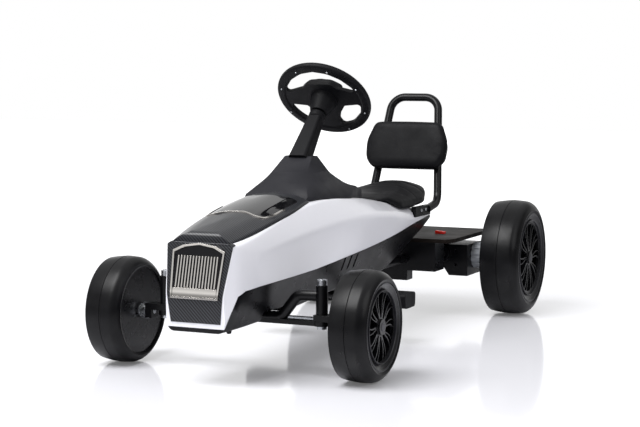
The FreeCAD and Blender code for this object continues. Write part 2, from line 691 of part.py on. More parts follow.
back_pad = on_backrest("backrest_pad_body")
pad_front = body_sketch(back_pad, "backrest_pad_outline", "front", "back_r + 0.9")
draw(pad_front, mirrored([("80", "-58", 26), ("100", "-34", 30), ("105", "8", 60), ("80", "58", 22), ("1", "59")]))
feature(back_pad, "Pad", "backrest_pad_block", pad_front, Length=28)
round_edges(back_pad, "backrest_pad_round", 11, lambda edge: abs(edge.BoundBox.YMin + size("back_r") + 28.9) < 0.01)
node(back_pad, "backrest_pad")

board = on_backrest("backrest_board_body")
board_front = body_sketch(board, "backrest_board_outline", "front", "back_r + 0.6")
draw(board_front, mirrored([("76", "-52", 22), ("94", "-32", 26), ("98", "6", 50), ("76", "50", 20), ("1", "51")]))
board_pad = feature(board, "Pad", "backrest_board_block", board_front, Length=13)
board_pad.Reversed = True
round_edges(board, "backrest_board_round", 4, lambda edge: edge.BoundBox.YMin > 2)
tube_ways = bent_rod("back_ways", back_points, 36, "back_r + gap")
node(cut("backrest_board_solid", board, tube_ways), "backrest_board")

# Rear box with its cover, the battery, the rocker switch, gearboxes and the axle.

front_block = block("box_front_block", (-112, 112), ("box_front", 392), ("box_low", "box_high"))
middle_block = block("box_middle_block", (-58, 58), (388, 590), ("box_low", "box_high"))
box_foot = block("box_foot", (-42, 42), (332, 368), (88, "box_low + 1"))
tray = block("box_tray", (-80, 80), (336, 388), ("box_low + 4", "box_high + 5"))
axle_hole = rod("box_axle_hole", "axle_r + run_fit", "x", (-200, 200), y="rear_y", z="rtyre_r")
rail_ends = [rod("box_rail_hole_%d" % i, "rail_r + gap", "y", (300, 336.5), x="%d * rail_x" % a, z="rail_z")
             for i, a in enumerate((1, -1))]
node(cut("rear_box_solid", join("rear_box_blank", front_block, middle_block, box_foot), tray, axle_hole,
         *rail_ends), "rear_box")
switch_hole = block("switch_hole", (72, 96), (436, 452), ("box_high - 1", "cover_high + 1"))
cover_plate = prism("cover_plate", "top", mirrored([("10", "312"), ("146", "312"), ("158", "336"),
                                                    ("158", "580"), ("140", "604")]),
                    "box_high + 0.1", "cover_high")
node(cut("rear_cover_solid", cover_plate, switch_hole), "rear_cover")
node(block("battery_solid", (-75, 75), (337.5, 386.5), ("box_low + 4.2", "box_high - 4")), "battery")
rocker = prism("rocker", "front", [("72.5", "box_high + 3"), ("95.5", "box_high + 3"), ("95.5", "cover_high + 1.5"),
                                   ("84", "cover_high + 3"), ("72.5", "cover_high + 4.5")], 436.5, 451.5)
node(rocker, "power_switch")

gears = []
for i, side in enumerate((1, -1)):
    case = [("66", "118"), ("88", "112"), ("104", "90"), ("150", "90"), ("150", "165"), ("72", "165")]
    case = [("%d * %s" % (side, x), z) for x, z in case]
    case = prism("gear_case_%d" % i, "front", case, 452, 560)
    motor = rod("gear_motor_%d" % i, 19, "y", (436, 500), x="%d * 90" % side, z=144)
    screw = rod("gear_boss_%d" % i, 10, "y", (430, 450), x="%d * 90" % side, z=144)
    way = rod("gear_axle_way_%d" % i, "axle_r + run_fit", "x", (-200, 200), y="rear_y", z="rtyre_r")
    holes = [rod("gear_hole_%d_%d" % (i, k), 3.5, "y", (440, 462), x="%d * 121" % side, z=z)
             for k, z in enumerate((116, 150))]
    gears.append(cut("gearbox_%d" % i, join("gear_body_%d" % i, case, motor, screw), way, *holes))
node(group("gearboxes_solid", *gears), "gearboxes")
node(rod("rear_axle_solid", "axle_r", "x", ("-axle_reach", "axle_reach"), y="rear_y", z="rtyre_r"), "rear_axle")

# Frame: two rails, and the front axle with its arms, strap and kingpin sleeves.

rails = [rod("rail_%d" % i, "rail_r", "y", (-560, 336), x="%d * rail_x" % a, z="rail_z")
         for i, a in enumerate((1, -1))]
tie = block("rail_tie", ("-rail_x", "rail_x"), (-560, -540), ("rail_z - 6", "rail_z + 6"))
tie_back = block("rail_tie_back", ("-rail_x", "rail_x"), (214, 234), ("rail_z - 6", "rail_z + 6"))
node(join("frame_rails_solid", *(rails + [tie, tie_back])), "frame_rails")

ARM = [(-160, 157), (-118, 156), (-84, 112), (84, 112), (118, 156), (160, 157)]
arm = bent_rod("axle_arm", [(x, "front_y", z) for x, z in ARM], 22, "arm_r")
strap = block("axle_strap", ("-king_x", "king_x"), ("front_y - strap_half", "front_y + strap_half"),
              ("strap_low", "strap_high"))
lugs = [block("rail_lug_%d" % i, (x, x + 20), ("front_y - 8", "front_y + 8"), (116, "rail_z - rail_r - 0.2"))
        for i, x in enumerate((-46, 26))]
sleeves = [rod("sleeve_%d" % i, "sleeve_r", "z", ("sleeve_low", "sleeve_top"), x="%d * king_x" % a, y="front_y")
           for i, a in enumerate((1, -1))]
eyes = [rod("strap_eye_%d" % i, 15, "z", ("strap_low", "strap_high"), x="%d * king_x" % a, y="front_y")
        for i, a in enumerate((1, -1))]
king_ways = [rod("king_way_%d" % i, "axle_r + run_fit", "z", (80, 200), x="%d * king_x" % a, y="front_y")
             for i, a in enumerate((1, -1))]
node(cut("front_axle_solid", join("front_axle_blank", arm, strap, *(lugs + sleeves + eyes)), *king_ways),
     "front_axle")

# Knuckles with their arms, the pins they turn and carry wheels on, and the tie rod.

for name, side in (("left", 1), ("right", -1)):
    def across(a, b):
        """A span across the kart, measured outwards on this side."""
        spans = ("%d * (%s)" % (side, a), "%d * (%s)" % (side, b))
        return spans if side > 0 else spans[::-1]

    plate = block("knuckle_plate_" + name, across("king_x - 12", "king_x + 38"),
                  ("front_y - 14", "front_y + 14"), ("strap_high + 0.4", "sleeve_low - 0.4"))
    drop = block("knuckle_drop_" + name, across("king_x + 26", "king_x + 40"),
                 ("front_y - 14", "front_y + 14"), ("ftyre_r - 13", "sleeve_low - 0.4"))
    lever = block("knuckle_arm_" + name, across("king_x - 8", "king_x + 8"),
                  ("front_y", "front_y + steer_arm + 9"), ("strap_high + 0.4", "strap_high + 6.4"))
    king_hole = rod("knuckle_hole_" + name, "axle_r", "z", (80, 140), x="%d * king_x" % side, y="front_y")
    tie_hole = rod("knuckle_tie_hole_" + name, "tie_pin_r + run_fit", "z", (80, 140),
                   x="%d * king_x" % side, y="front_y + steer_arm")
    stub_hole = rod("knuckle_stub_hole_" + name, "axle_r", "x", across("king_x + 20", "king_x + 60"),
                    y="front_y", z="ftyre_r")
    node(cut("knuckle_%s_solid" % name, join("knuckle_%s_blank" % name, plate, drop, lever), king_hole,
             tie_hole, stub_hole), "knuckle_" + name)
    king_bolt = rod("king_bolt_" + name, "axle_r", "z", ("strap_low - 6", "sleeve_top + 12"),
                    x="%d * king_x" % side, y="front_y")
    king_head = rod("king_head_" + name, 10, "z", ("strap_low - 6", "strap_low - 0.4"),
                    x="%d * king_x" % side, y="front_y")
    king_nut = rod("king_nut_" + name, 9.5, "z", ("sleeve_top + 0.4", "sleeve_top + 11"),
                   x="%d * king_x" % side, y="front_y")
    stub = rod("stub_" + name, "axle_r", "x", across("king_x + 26", "axle_reach_front"), y="front_y", z="ftyre_r")
    flange = rod("stub_flange_" + name, 16, "x", across("king_x + 40", "fwheel_x - ftyre_w / 2 - 1"),
                 y="front_y", z="ftyre_r")
    node(group("axle_pins_%s_solid" % name, join("king_pin_" + name, king_bolt, king_head, king_nut),
               join("stub_axle_" + name, stub, flange)), "axle_pins_" + name)

bar = block("tie_bar", ("-king_x", "king_x"), ("front_y + steer_arm - 7", "front_y + steer_arm + 7"),
            ("rod_low", "rod_high"))
fork = block("tie_fork", (-16, 16), (-424, -384), ("rod_low", "rod_high"))
ends = [rod("tie_end_%d" % i, 9, "z", ("rod_low", "rod_high"), x="%d * king_x" % a, y="front_y + steer_arm")
        for i, a in enumerate((1, -1))]
slot = block("tie_slot", (-6.5, 6.5), (-419, -391), (80, 130))
tie_pins = [rod("tie_pin_%d" % i, "tie_pin_r", "z", ("rod_low - 4", "strap_high + 9"), x="%d * king_x" % a,
                y="front_y + steer_arm") for i, a in enumerate((1, -1))]
node(join("tie_rod_solid", cut("tie_flat", join("tie_blank", bar, fork, *ends), slot), *tie_pins), "tie_rod")

# Footrests on a bar below the tub.

rest_bar = rod("rest_bar", 8, "x", (-150, 150), y=-25, z=97)
hangers = [block("rest_hanger_%d" % i, (x, x + 6), (-40, -10), (92, 130)) for i, x in enumerate((-39, 33))]
node(join("footrest_bar_solid", rest_bar, cut("rest_hangers", group("hanger_pair", *hangers), outer)), "footrest_bar")
rests = []
for i, side in enumerate((1, -1)):
    rest = prism("rest_%d" % i, "side", [("-54", "80", 8), ("2", "80", 8), ("4", "112", 9), ("-60", "112", 9)],
                 "112" if side > 0 else "-187", "187" if side > 0 else "-112")
    rests.append(cut("rest_solid_%d" % i, rest,
                     rod("rest_way_%d" % i, "8.05", "x", ((100, 151) if side > 0 else (-151, -100)), y=-25, z=97)))
node(group("footrests_solid", *rests), "footrests")

# Wheels: a tyre and a spoked rim each, and a coupling ring on the rear ones.

for name, side, kind, line, turn in WHEELS:
    radius, width, bead, spokes = (kind + part for part in ("tyre_r", "tyre_w", "bead_r", "spoke_r"))
    half = width + " / 2"
    at = ("%d * %swheel_x" % (side, kind), line, radius, (0, 0, 1), turn)

    tyre = body("tyre_%s_body" % name, *at)
    ring = body_sketch(tyre, "tyre_section_" + name, "top")
    shoulder = [(half, bead), (half, radius + " - 17"), ("%s - 6" % half, radius + " - 5"),
                ("%s * 0.3" % width, radius)]
    draw(ring, shoulder + [("-(%s)" % along, away) for along, away in shoulder[::-1]])
    spin(tyre, "Revolution", "tyre_ring_" + name, ring)
    node(tyre, "tyre_" + name)

    rim = body("rim_%s_body" % name, *at)
    form = body_sketch(rim, "rim_section_" + name, "top")
    draw(form, [("-%s + 5" % half, "axle_r + run_fit"), ("-%s + 5" % half, bead + " - gap"),
                (half + " - 3", bead + " - gap"), (half + " - 3", bead + " - 5"), (half + " - 9", spokes),
                (half + " - 9", "hub_r"), (half + " - 5", "hub_r"), (half + " - 5", "axle_r + run_fit")])
    spin(rim, "Revolution", "rim_form_" + name, form)
    hollow_ring = body_sketch(rim, "rim_hollow_section_" + name, "top")
    draw(hollow_ring, [("-%s + 9" % half, "hub_r"), ("-%s + 9" % half, bead + " - 5"),
                       (half + " - 14", bead + " - 5"), (half + " - 16", spokes), (half + " - 16", "hub_r")])
    spin(rim, "Groove", "rim_hollow_" + name, hollow_ring)
    wide = body_sketch(rim, "spoke_gap_outline_" + name, "side", half + " - 8")
    draw(wide, [("-2.5", "hub_r + 3", 1), ("-%s * 0.13" % spokes, spokes + " - 3", 4),
                ("%s * 0.25" % spokes, spokes + " - 5", 4), ("3.5", "hub_r + 3", 1)])
    wide_cut = feature(rim, "Pocket", "spoke_gap_" + name, wide, Length=10)
    polar(rim, "spoke_gaps_" + name, wide_cut, wide, "N_Axis", 10)
    narrow = body_sketch(rim, "spoke_slot_outline_" + name, "side", half + " - 8")
    draw(narrow, [("hub_r + 12", "-1.8"), (spokes + " - 4", "-%s * 0.145" % spokes, 2),
                  (spokes + " - 3", "%s * 0.03" % spokes, 2), ("hub_r + 12", "0.4")])
    narrow_cut = feature(rim, "Pocket", "spoke_slot_" + name, narrow, Length=10)
    polar(rim, "spoke_slots_" + name, narrow_cut, narrow, "N_Axis", 10)
    node(rim, "rim_" + name)

    if kind == "r":
        ring_body = body("coupling_%s_body" % name, *at)
        teeth = body_sketch(ring_body, "coupling_outline_" + name, "side", "150.5 - rwheel_x")
        draw_circle(teeth, 0, 0, 31)
        draw_circle(teeth, 0, 0, "axle_r + run_fit")
        feature(ring_body, "Pad", "coupling_ring_" + name, teeth, Length="rwheel_x - rtyre_w / 2 + 5 - 150.7")
        flute = body_sketch(ring_body, "coupling_flute_" + name, "side", "150.5 - rwheel_x")
        draw_circle(flute, 0, 32, 4)
        flute_cut = feature(ring_body, "Pocket", "coupling_flute_cut_" + name, flute, Length=60)
        flute_cut.Reversed = True
        polar(ring_body, "coupling_flutes_" + name, flute_cut, flute, "N_Axis", 12)
        node(ring_body, "coupling_" + name.split("_")[1])


def export():
    """Check every piece and write it as a STEP file."""
    doc.recompute()
    for item in doc.Objects:
        if "Invalid" in item.State or "Error" in item.State:
            raise RuntimeError("%s is %s" % (item.Label, item.State))
    for item in nodes:
        if item.Shape.isNull() or not item.Shape.isValid():
            raise RuntimeError("%s has no valid shape" % item.Label)
        item.Shape.exportStep("parts/%s.step" % item.Label)


export()
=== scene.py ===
import json
import math

import bmesh
import bpy
from bpy.props import FloatProperty, FloatVectorProperty, IntProperty, PointerProperty
from mathutils import Matrix, Vector


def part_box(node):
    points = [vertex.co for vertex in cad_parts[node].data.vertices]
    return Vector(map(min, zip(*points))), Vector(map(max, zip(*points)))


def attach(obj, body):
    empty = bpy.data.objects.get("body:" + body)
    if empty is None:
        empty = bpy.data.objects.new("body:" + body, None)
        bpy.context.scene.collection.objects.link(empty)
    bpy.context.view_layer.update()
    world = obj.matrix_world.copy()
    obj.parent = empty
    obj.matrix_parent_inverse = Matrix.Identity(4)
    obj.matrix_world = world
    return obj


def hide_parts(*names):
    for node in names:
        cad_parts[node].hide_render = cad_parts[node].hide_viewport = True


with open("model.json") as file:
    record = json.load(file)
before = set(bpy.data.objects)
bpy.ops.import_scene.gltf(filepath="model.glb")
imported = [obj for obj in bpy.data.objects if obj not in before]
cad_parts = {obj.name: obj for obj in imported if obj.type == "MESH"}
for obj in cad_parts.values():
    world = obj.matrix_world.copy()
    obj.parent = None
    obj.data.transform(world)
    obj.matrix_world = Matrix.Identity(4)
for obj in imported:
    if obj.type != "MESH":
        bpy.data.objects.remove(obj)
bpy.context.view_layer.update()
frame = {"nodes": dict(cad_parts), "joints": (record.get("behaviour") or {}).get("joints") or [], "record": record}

bl_info = {
    "name": "Ride-on go-kart",
    "version": (1, 0, 0),
    "blender": (4, 5, 0),
    "location": "View3D > Sidebar > Go-kart",
    "description": "Dresses the go-kart's frame with tyres, pads, trim and fasteners, and sets up a studio",
    "category": "Object",
}

MM = 0.001
CORNERS = ("front_left", "front_right", "rear_left", "rear_right")
BODY_OF = {node: body for body, nodes in frame["record"]["behaviour"]["bodies"].items() for node in nodes}


def linear(code):
    """The linear colour of an sRGB hex value."""
    parts = [int(code[i:i + 2], 16) / 255 for i in (1, 3, 5)]
    return tuple(p / 12.92 if p <= 0.04045 else ((p + 0.055) / 1.055) ** 2.4 for p in parts)


def in_mm(pairs):
    """Pairs of millimetres as pairs of metres."""
    return [(first * MM, second * MM) for first, second in pairs]


def middle(node):
    """The middle of a CAD node's box."""
    low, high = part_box(node)
    return (low + high) / 2


def reach(node, axis):
    """The size of a CAD node along an axis."""
    low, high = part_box(node)
    return high[axis] - low[axis]


# What a user would change


def length(name, text, default):
    """A length that a user can change, in metres."""
    return FloatProperty(name=name, description=text, default=default, min=0.0001, unit="LENGTH",
                         subtype="DISTANCE")


def colour(name, text, code):
    """A colour that a user can change."""
    return FloatVectorProperty(name=name, description=text, default=linear(code), min=0, max=1, size=3,
                               subtype="COLOR")


class KartSizes(bpy.types.PropertyGroup):
    tyre_shoulder: length("Tyre shoulder", "Height of the rounded shoulder of the front tyres", 17 * MM)
    tyre_seam: length("Tyre mould line", "Half the width of the line that the mould leaves round the tread",
                      0.9 * MM)
    tyre_steps: IntProperty(name="Tyre steps", description="Facets round a tyre", default=128, min=32,
                            max=256)
    pad_puff: length("Pad swelling", "How far the filling may push the cover of a pad outwards", 5 * MM)
    seam_depth: length("Seam depth", "How deep the sewn seam of a pad lies", 1.4 * MM)
    screw: length("Screw head", "Radius of the small screw heads on the steering wheel", 1.9 * MM)
    twill: length("Twill width", "Width of one thread bundle of the carbon-look film", 1.7 * MM)
    spoke_curve: FloatProperty(name="Spoke curve", description="How far the spokes bend sideways",
                               default=math.radians(7), subtype="ANGLE")


class KartColours(bpy.types.PropertyGroup):
    body: colour("Body", "Colour of the body shell", "#F0F0F6")
    carbon: colour("Carbon film", "Lighter thread of the carbon-look film", "#404248")
    carbon_dark: colour("Carbon film, dark", "Darker thread of the carbon-look film", "#070709")
    chrome: colour("Chrome", "Colour of the plated grille and hood trim", "#EAE6E1")
    smoked: colour("Hood insert", "Colour of the smoked insert in the hood", "#101012")
    plastic: colour("Black plastic", "Colour of the moulded black parts", "#0D0D10")
    boot: colour("Boot", "Colour of the housing over the column's foot", "#27272B")
    tyre: colour("Tyre", "Colour of the tyres", "#060608")
    rim: colour("Rim", "Colour of the wheel rims", "#0E0E11")
    # the outer ring is a real trim ring; its colour, lighter than the rim's, is a painted highlight on the rim's
    # edge
    ring: colour("Rim ring", "Colour of the rim's outer ring", "#222227")
    cap: colour("Hub cap", "Colour of the caps on the wheel hubs", "#36363C")
    pad: colour("Pads", "Colour of the seat and backrest cover", "#0C0C0F")
    tube: colour("Tubes", "Colour of the powder-coated tubes", "#09090B")
    zinc: colour("Plated steel", "Colour of the zinc-plated shafts, nuts and screws", "#BFC2C6")
    cover: colour("Rear cover", "Colour of the rear box's cover", "#17120F")
    switch: colour("Switch", "Colour of the rocker switch", "#E3261B")
    coupling: colour("Couplings", "Colour of the wheel couplings", "#B4B8BE")
    battery: colour("Battery", "Colour of the battery's case", "#4A4A4E")
    floor: colour("Floor", "Colour of the polished floor", "#F4F4FA")
    # only glossy rays see this grey on the far floor: painted shade in the reflections of glossy parts
    floor_painted_reflection: colour("Floor, far", "Colour of the far floor where glossy parts mirror it", "#6A6A70")


def sizes():
    """The sizes that the operators work with."""
    return bpy.context.scene.kart_sizes


def colours():
    """The colours that the operators work with."""
    return bpy.context.scene.kart_colours


# Materials. A Mix node's sockets are numbered: 0 is its factor, 2 and 3 its numbers, 6 and 7 its colours.


def add(tree, kind, settings=None, sockets=None):
    """Adds a shader node with its settings; a socket takes a value or a pair of node and output."""
    node = tree.nodes.new("ShaderNode" + kind)
    for name, value in (settings or {}).items():
        setattr(node, name, value)
    for name, value in (sockets or {}).items():
        if isinstance(value, tuple) and isinstance(value[0], bpy.types.Node):
            tree.links.new(value[0].outputs[value[1]], node.inputs[name])
        else:
            node.inputs[name].default_value = value
    return node


def opaque(rgb):
    """A colour with its alpha."""
    return (*rgb, 1)


def start(name):
    """A new material, its empty node tree and its object coordinates."""
    material = bpy.data.materials.new(name)
    material.use_nodes = True
    tree = material.node_tree
    tree.nodes.clear()
    return material, tree, add(tree, "TexCoord")


def close(material, tree, shader):
    """Links the shader to the material's output."""
    add(tree, "OutputMaterial", None, {"Surface": (shader, 0)})
    return material


def skin(tree, place, edge=None, grain=None, detail=2.0, patches=None, under=None):
    """The shader's normal and roughness, of a surface with the marks of how it was made.

    edge is the radius that its sharp edges are worn to. grain is the size and the depth of its unevenness,
    and detail how broken up that is. patches are the size of its shinier and duller areas and the roughness
    of both. under is the bump that the grain lies on.
    """
    sockets = {}
    if under:
        sockets["Normal"] = (under, "Normal")
    if edge:
        sockets["Normal"] = (add(tree, "Bevel", {"samples": 6}, {"Radius": edge}), "Normal")
    if grain:
        size, depth = grain
        uneven = add(tree, "TexNoise", None, {"Vector": (place, "Object"), "Scale": 1 / size,
                                              "Detail": detail})
        bump = add(tree, "Bump", None, {"Height": (uneven, "Fac"), "Distance": depth, "Strength": 1.0,
                                        **sockets})
        sockets["Normal"] = (bump, "Normal")
    if patches:
        size, shiny, dull = patches
        cloud = add(tree, "TexNoise", None, {"Vector": (place, "Object"), "Scale": 1 / size, "Detail": 3.0})
        rough = add(tree, "MapRange", None, {"Value": (cloud, "Fac"), "From Min": 0.3, "From Max": 0.7,
                                             "To Min": shiny, "To Max": dull})
        sockets["Roughness"] = (rough, "Result")
    return sockets


def body_abs():
    """White ABS, injection moulded and polished: a deep even gloss with a trace of orange peel."""
    material, tree, place = start("abs_white_polished")
    shader = add(tree, "BsdfPrincipled", None, {
        "Base Color": opaque(colours().body), "IOR": 1.52, "Coat Weight": 0.35, "Coat Roughness": 0.07,
        **skin(tree, place, 1.2 * MM, (9 * MM, 0.02 * MM), patches=(60 * MM, 0.16, 0.24))})
    return close(material, tree, shader)


def carbon_film():
    """ABS with a printed twill film under lacquer: slanting dark and light steps below a clear gloss."""
    material, tree, place = start("abs_carbon_twill_film")
    split = add(tree, "SeparateXYZ", None, {"Vector": (place, "Object")})
    slant = add(tree, "Math", {"operation": "ADD"}, {0: (split, "Y"), 1: (split, "Z")})
    bundles, rows = {}, {}
    for way, source in (("across", (split, "X")), ("along", (slant, 0))):
        bundles[way] = add(tree, "Math", {"operation": "DIVIDE"}, {0: source, 1: sizes().twill})
        rows[way] = add(tree, "Math", {"operation": "FLOOR"}, {0: (bundles[way], 0)})
    both = add(tree, "Math", {"operation": "ADD"}, {0: (rows["across"], 0), 1: (rows["along"], 0)})
    # a two-over-two twill: of each four steps, two show the thread that runs across
    step = add(tree, "Math", {"operation": "FLOORED_MODULO"}, {0: (both, 0), 1: 4.0})
    over = add(tree, "Math", {"operation": "LESS_THAN"}, {0: (step, 0), 1: 1.5})
    # each bundle is lighter along its middle, as the lacquered thread's crown is
    crown_x = add(tree, "Math", {"operation": "PINGPONG"}, {0: (bundles["across"], 0), 1: 0.5})
    crown_y = add(tree, "Math", {"operation": "PINGPONG"}, {0: (bundles["along"], 0), 1: 0.5})
    crown = add(tree, "Mix", {"data_type": "FLOAT"}, {0: (over, 0), 2: (crown_x, 0), 3: (crown_y, 0)})
    light = add(tree, "MapRange", None, {"Value": (crown, 0), "From Max": 0.5, "To Min": 0.25,
                                         "To Max": 1.0})
    tone = add(tree, "Math", {"operation": "MULTIPLY"}, {0: (light, 0), 1: (over, 0)})
    paint = add(tree, "Mix", {"data_type": "RGBA"}, {0: (tone, 0), 6: opaque(colours().carbon_dark),
                                                    7: opaque(colours().carbon)})
    shader = add(tree, "BsdfPrincipled", None, {
        "Base Color": (paint, 2), "Roughness": 0.4, "IOR": 1.5, "Specular IOR Level": 0.2,
        "Coat Weight": 0.45, "Coat Roughness": 0.05, "Coat IOR": 1.45, **skin(tree, place, 0.8 * MM)})
    return close(material, tree, shader)


def chrome():
    """ABS plated with chrome: a bright mirror with faint unevenness of the moulding below."""
    material, tree, place = start("chrome_plated_abs")
    shader = add(tree, "BsdfPrincipled", None, {
        "Base Color": opaque(colours().chrome), "Metallic": 1.0,
        **skin(tree, place, 0.2 * MM, (14 * MM, 0.02 * MM), patches=(20 * MM, 0.05, 0.11))})
    return close(material, tree, shader)


def smoked():
    """Smoked acrylic, moulded: nearly black, with sharp reflections."""
    material, tree, place = start("acrylic_smoked_moulded")
    shader = add(tree, "BsdfPrincipled", None, {
        "Base Color": opaque(colours().smoked), "Roughness": 0.05, "IOR": 1.49, "Coat Weight": 0.25,
        "Coat Roughness": 0.03, **skin(tree, place, 0.8 * MM, (30 * MM, 0.03 * MM))})
    return close(material, tree, shader)


def tyre_foam():
    """EVA foam rubber, moulded: black with a waxy sheen, faint mottling and a fine skin.

    The pores of the skin are drawn at 1.6 mm, coarser than real ones, so that they show.
    """
    material, tree, place = start("eva_foam_moulded")
    cloud = add(tree, "TexNoise", None, {"Vector": (place, "Object"), "Scale": 1 / (38 * MM), "Detail": 4.0})
    tone = add(tree, "MapRange", None, {"Value": (cloud, "Fac"), "From Min": 0.35, "From Max": 0.65})
    worn = tuple(c * 1.5 + 0.002 for c in colours().tyre)
    paint = add(tree, "Mix", {"data_type": "RGBA"}, {0: (tone, 0), 6: opaque(colours().tyre),
                                                    7: opaque(worn)})
    shader = add(tree, "BsdfPrincipled", None, {
        "Base Color": (paint, 2), "IOR": 1.5, "Specular IOR Level": 0.2,
        **skin(tree, place, grain=(1.6 * MM, 0.05 * MM), detail=4.0, patches=(26 * MM, 0.27, 0.37))})
    return close(material, tree, shader)


def pad_cover():
    """PU leather on knitted backing, embossed and sewn: a close pebbled grain with a low satin sheen.

    The pebbles are drawn at 1.5 mm, about twice the real size, so that they show.
    """
    material, tree, place = start("pu_leather_embossed")
    cells = add(tree, "TexVoronoi", {"feature": "SMOOTH_F1"}, {"Vector": (place, "Object"),
                                                               "Scale": 1 / (1.5 * MM)})
    pebbles = add(tree, "Bump", None, {"Height": (cells, "Distance"), "Distance": 0.12 * MM,
                                       "Strength": 1.0})
    shader = add(tree, "BsdfPrincipled", None, {
        "Base Color": opaque(colours().pad), "IOR": 1.48, "Specular IOR Level": 0.14, "Sheen Weight": 0.01,
        "Sheen Roughness": 0.4,
        **skin(tree, place, grain=(22 * MM, 0.5 * MM), detail=3.0, patches=(35 * MM, 0.42, 0.56),
               under=pebbles)})
    return close(material, tree, shader)


def powder_coat():
    """Steel tube, powder coated: black, smooth, with the slight orange peel of baked powder."""
    material, tree, place = start("steel_powder_coated_black")
    shader = add(tree, "BsdfPrincipled", None, {
        "Base Color": opaque(colours().tube), "IOR": 1.5, "Specular IOR Level": 0.2, "Coat Weight": 0.08,
        "Coat Roughness": 0.2,
        **skin(tree, place, 0.8 * MM, (2.6 * MM, 0.05 * MM), patches=(30 * MM, 0.26, 0.36))})
    return close(material, tree, shader)


def zinc():
    """Steel, zinc plated: a bright blue-white metal with cloudy dull spots."""
    material, tree, place = start("steel_zinc_plated")
    shader = add(tree, "BsdfPrincipled", None, {
        "Base Color": opaque(colours().zinc), "Metallic": 1.0,
        **skin(tree, place, 0.4 * MM, (1.2 * MM, 0.02 * MM), patches=(5 * MM, 0.2, 0.42))})
    return close(material, tree, shader)


def switch_lens():
    """Polycarbonate, clear red, moulded: glossy with light inside its edges."""
    material, tree, place = start("polycarbonate_red_moulded")
    shader = add(tree, "BsdfPrincipled", None, {
        "Base Color": opaque(colours().switch), "Roughness": 0.34, "IOR": 1.58, "Specular IOR Level": 0.2,
        "Subsurface Weight": 0.3, "Subsurface Scale": 3 * MM, **skin(tree, place, 0.6 * MM)})
    return close(material, tree, shader)


FINISHES = {
    "white": body_abs, "carbon": carbon_film, "chrome": chrome, "smoked": smoked, "tyre": tyre_foam,
    "pad": pad_cover, "tube": powder_coat, "zinc": zinc, "switch": switch_lens,
}
# Moulded plastics: material, colour, roughness of its shiny and of its dull patches, size and depth of its
# grain and radius of its edges in millimetres, and specular level.
MOULDINGS = {
    # spark-eroded grain, drawn coarser than the real one so that it shows: dull and even
    "matte": ("polypropylene_fine_grain", "plastic", 0.46, 0.58, 0.9, 0.05, 1.0, 0.15),
    "boot": ("polypropylene_boot_grained", "boot", 0.46, 0.58, 0.9, 0.05, 1.0, 0.15),
    "battery": ("abs_grey_case", "battery", 0.5, 0.6, 1.0, 0.04, 1.0, 0.15),
    # smooth tool, unpainted: soft broad highlights
    "satin": ("polypropylene_smooth", "plastic", 0.26, 0.34, 3.0, 0.01, 1.0, 0.25),
    "cover": ("polypropylene_brown_black", "cover", 0.48, 0.6, 5.0, 0.02, 1.0, 0.12),
    # polished tool: a gloss that is crisp on the spokes and softer on ring and cap
    "rim": ("polypropylene_gloss_rim", "rim", 0.24, 0.32, 4.0, 0.006, 0.5, 0.5),
    # the ring's lighter colour is a painted highlight on the rim's edge
    "ring": ("polypropylene_rim_ring_painted_highlight", "ring", 0.3, 0.42, 4.0, 0.02, 0.6, 0.6),
    "cap": ("polypropylene_hub_cap", "cap", 0.4, 0.5, 4.0, 0.02, 0.6, 0.5),
    # undyed, milky and a little waxy
    "nylon": ("nylon_natural_grey", "coupling", 0.4, 0.5, 2.0, 0.03, 1.0, 0.15),
}
MOULD_PATCH = 45 * MM
made_finishes = {}


def moulded(name, tint, shiny, dull, size, depth, edge, shine):
    """A moulded plastic with the grain of its tool and with duller and shinier patches."""
    material, tree, place = start(name)
    shader = add(tree, "BsdfPrincipled", None, {
        "Base Color": opaque(getattr(colours(), tint)), "IOR": 1.49, "Specular IOR Level": shine,
        **skin(tree, place, edge * MM, (size * MM, depth * MM), patches=(MOULD_PATCH, shiny, dull))})
    return close(material, tree, shader)


def finish(name):
    """The material of a finish, made once."""
    if name not in made_finishes:
        made_finishes[name] = moulded(*MOULDINGS[name]) if name in MOULDINGS else FINISHES[name]()
    return made_finishes[name]


NODE_FINISH = {
    "body_shell": "white", "tub": "satin", "hood_panel": "carbon", "hood_insert": "smoked",
    "hood_trim": "chrome", "nose_panel": "carbon", "grille_frame": "chrome", "grille_plate": "chrome",
    "grille_header": "satin", "grille_slats": "chrome", "boot": "boot", "steering_wheel": "matte",
    "horn_pad": "matte", "steering_shaft": "zinc", "column_cover": "matte", "seat_pad": "pad",
    "backrest_tube": "tube", "backrest_pad": "pad", "backrest_board": "matte", "rear_box": "satin",
    "rear_cover": "cover", "battery": "battery", "power_switch": "switch", "gearboxes": "satin",
    "rear_axle": "zinc", "frame_rails": "tube", "front_axle": "tube", "knuckle_left": "tube",
    "knuckle_right": "tube", "axle_pins_left": "zinc", "axle_pins_right": "zinc", "tie_rod": "zinc",
    "footrest_bar": "tube", "footrests": "matte", "coupling_left": "nylon", "coupling_right": "nylon",
    **{"tyre_" + corner: "tyre" for corner in CORNERS}, **{"rim_" + corner: "rim" for corner in CORNERS},
}


# Mesh helpers

# Points closer than this are one: on a copied CAD node, and on a new piece
CAD_MERGE, SEAM_MERGE = 0.002 * MM, 0.001 * MM
# A hexagon's size across its flats, over the radius of its corners
HEX_FLATS = 1.732


def cad_copy(node):
    """A bmesh of a CAD node's loose triangles, merged at their corners."""
    shape = bmesh.new()
    shape.from_mesh(frame["nodes"][node].data)
    bmesh.ops.remove_doubles(shape, verts=shape.verts, dist=CAD_MERGE)
    return shape


def show(name, data):
    """A new object of a mesh, lamp or camera, in the scene."""
    made = bpy.data.objects.new(name, data)
    bpy.context.scene.collection.objects.link(made)
    return made


def dress(made, kind, body, replaced=()):
    """Gives a piece its finish, its body and its slot, and hides the CAD nodes that it stands for."""
    made.data.materials.clear()
    made.data.materials.append(finish(kind))
    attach(made, body)
    if replaced:
        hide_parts(*replaced)
    return made


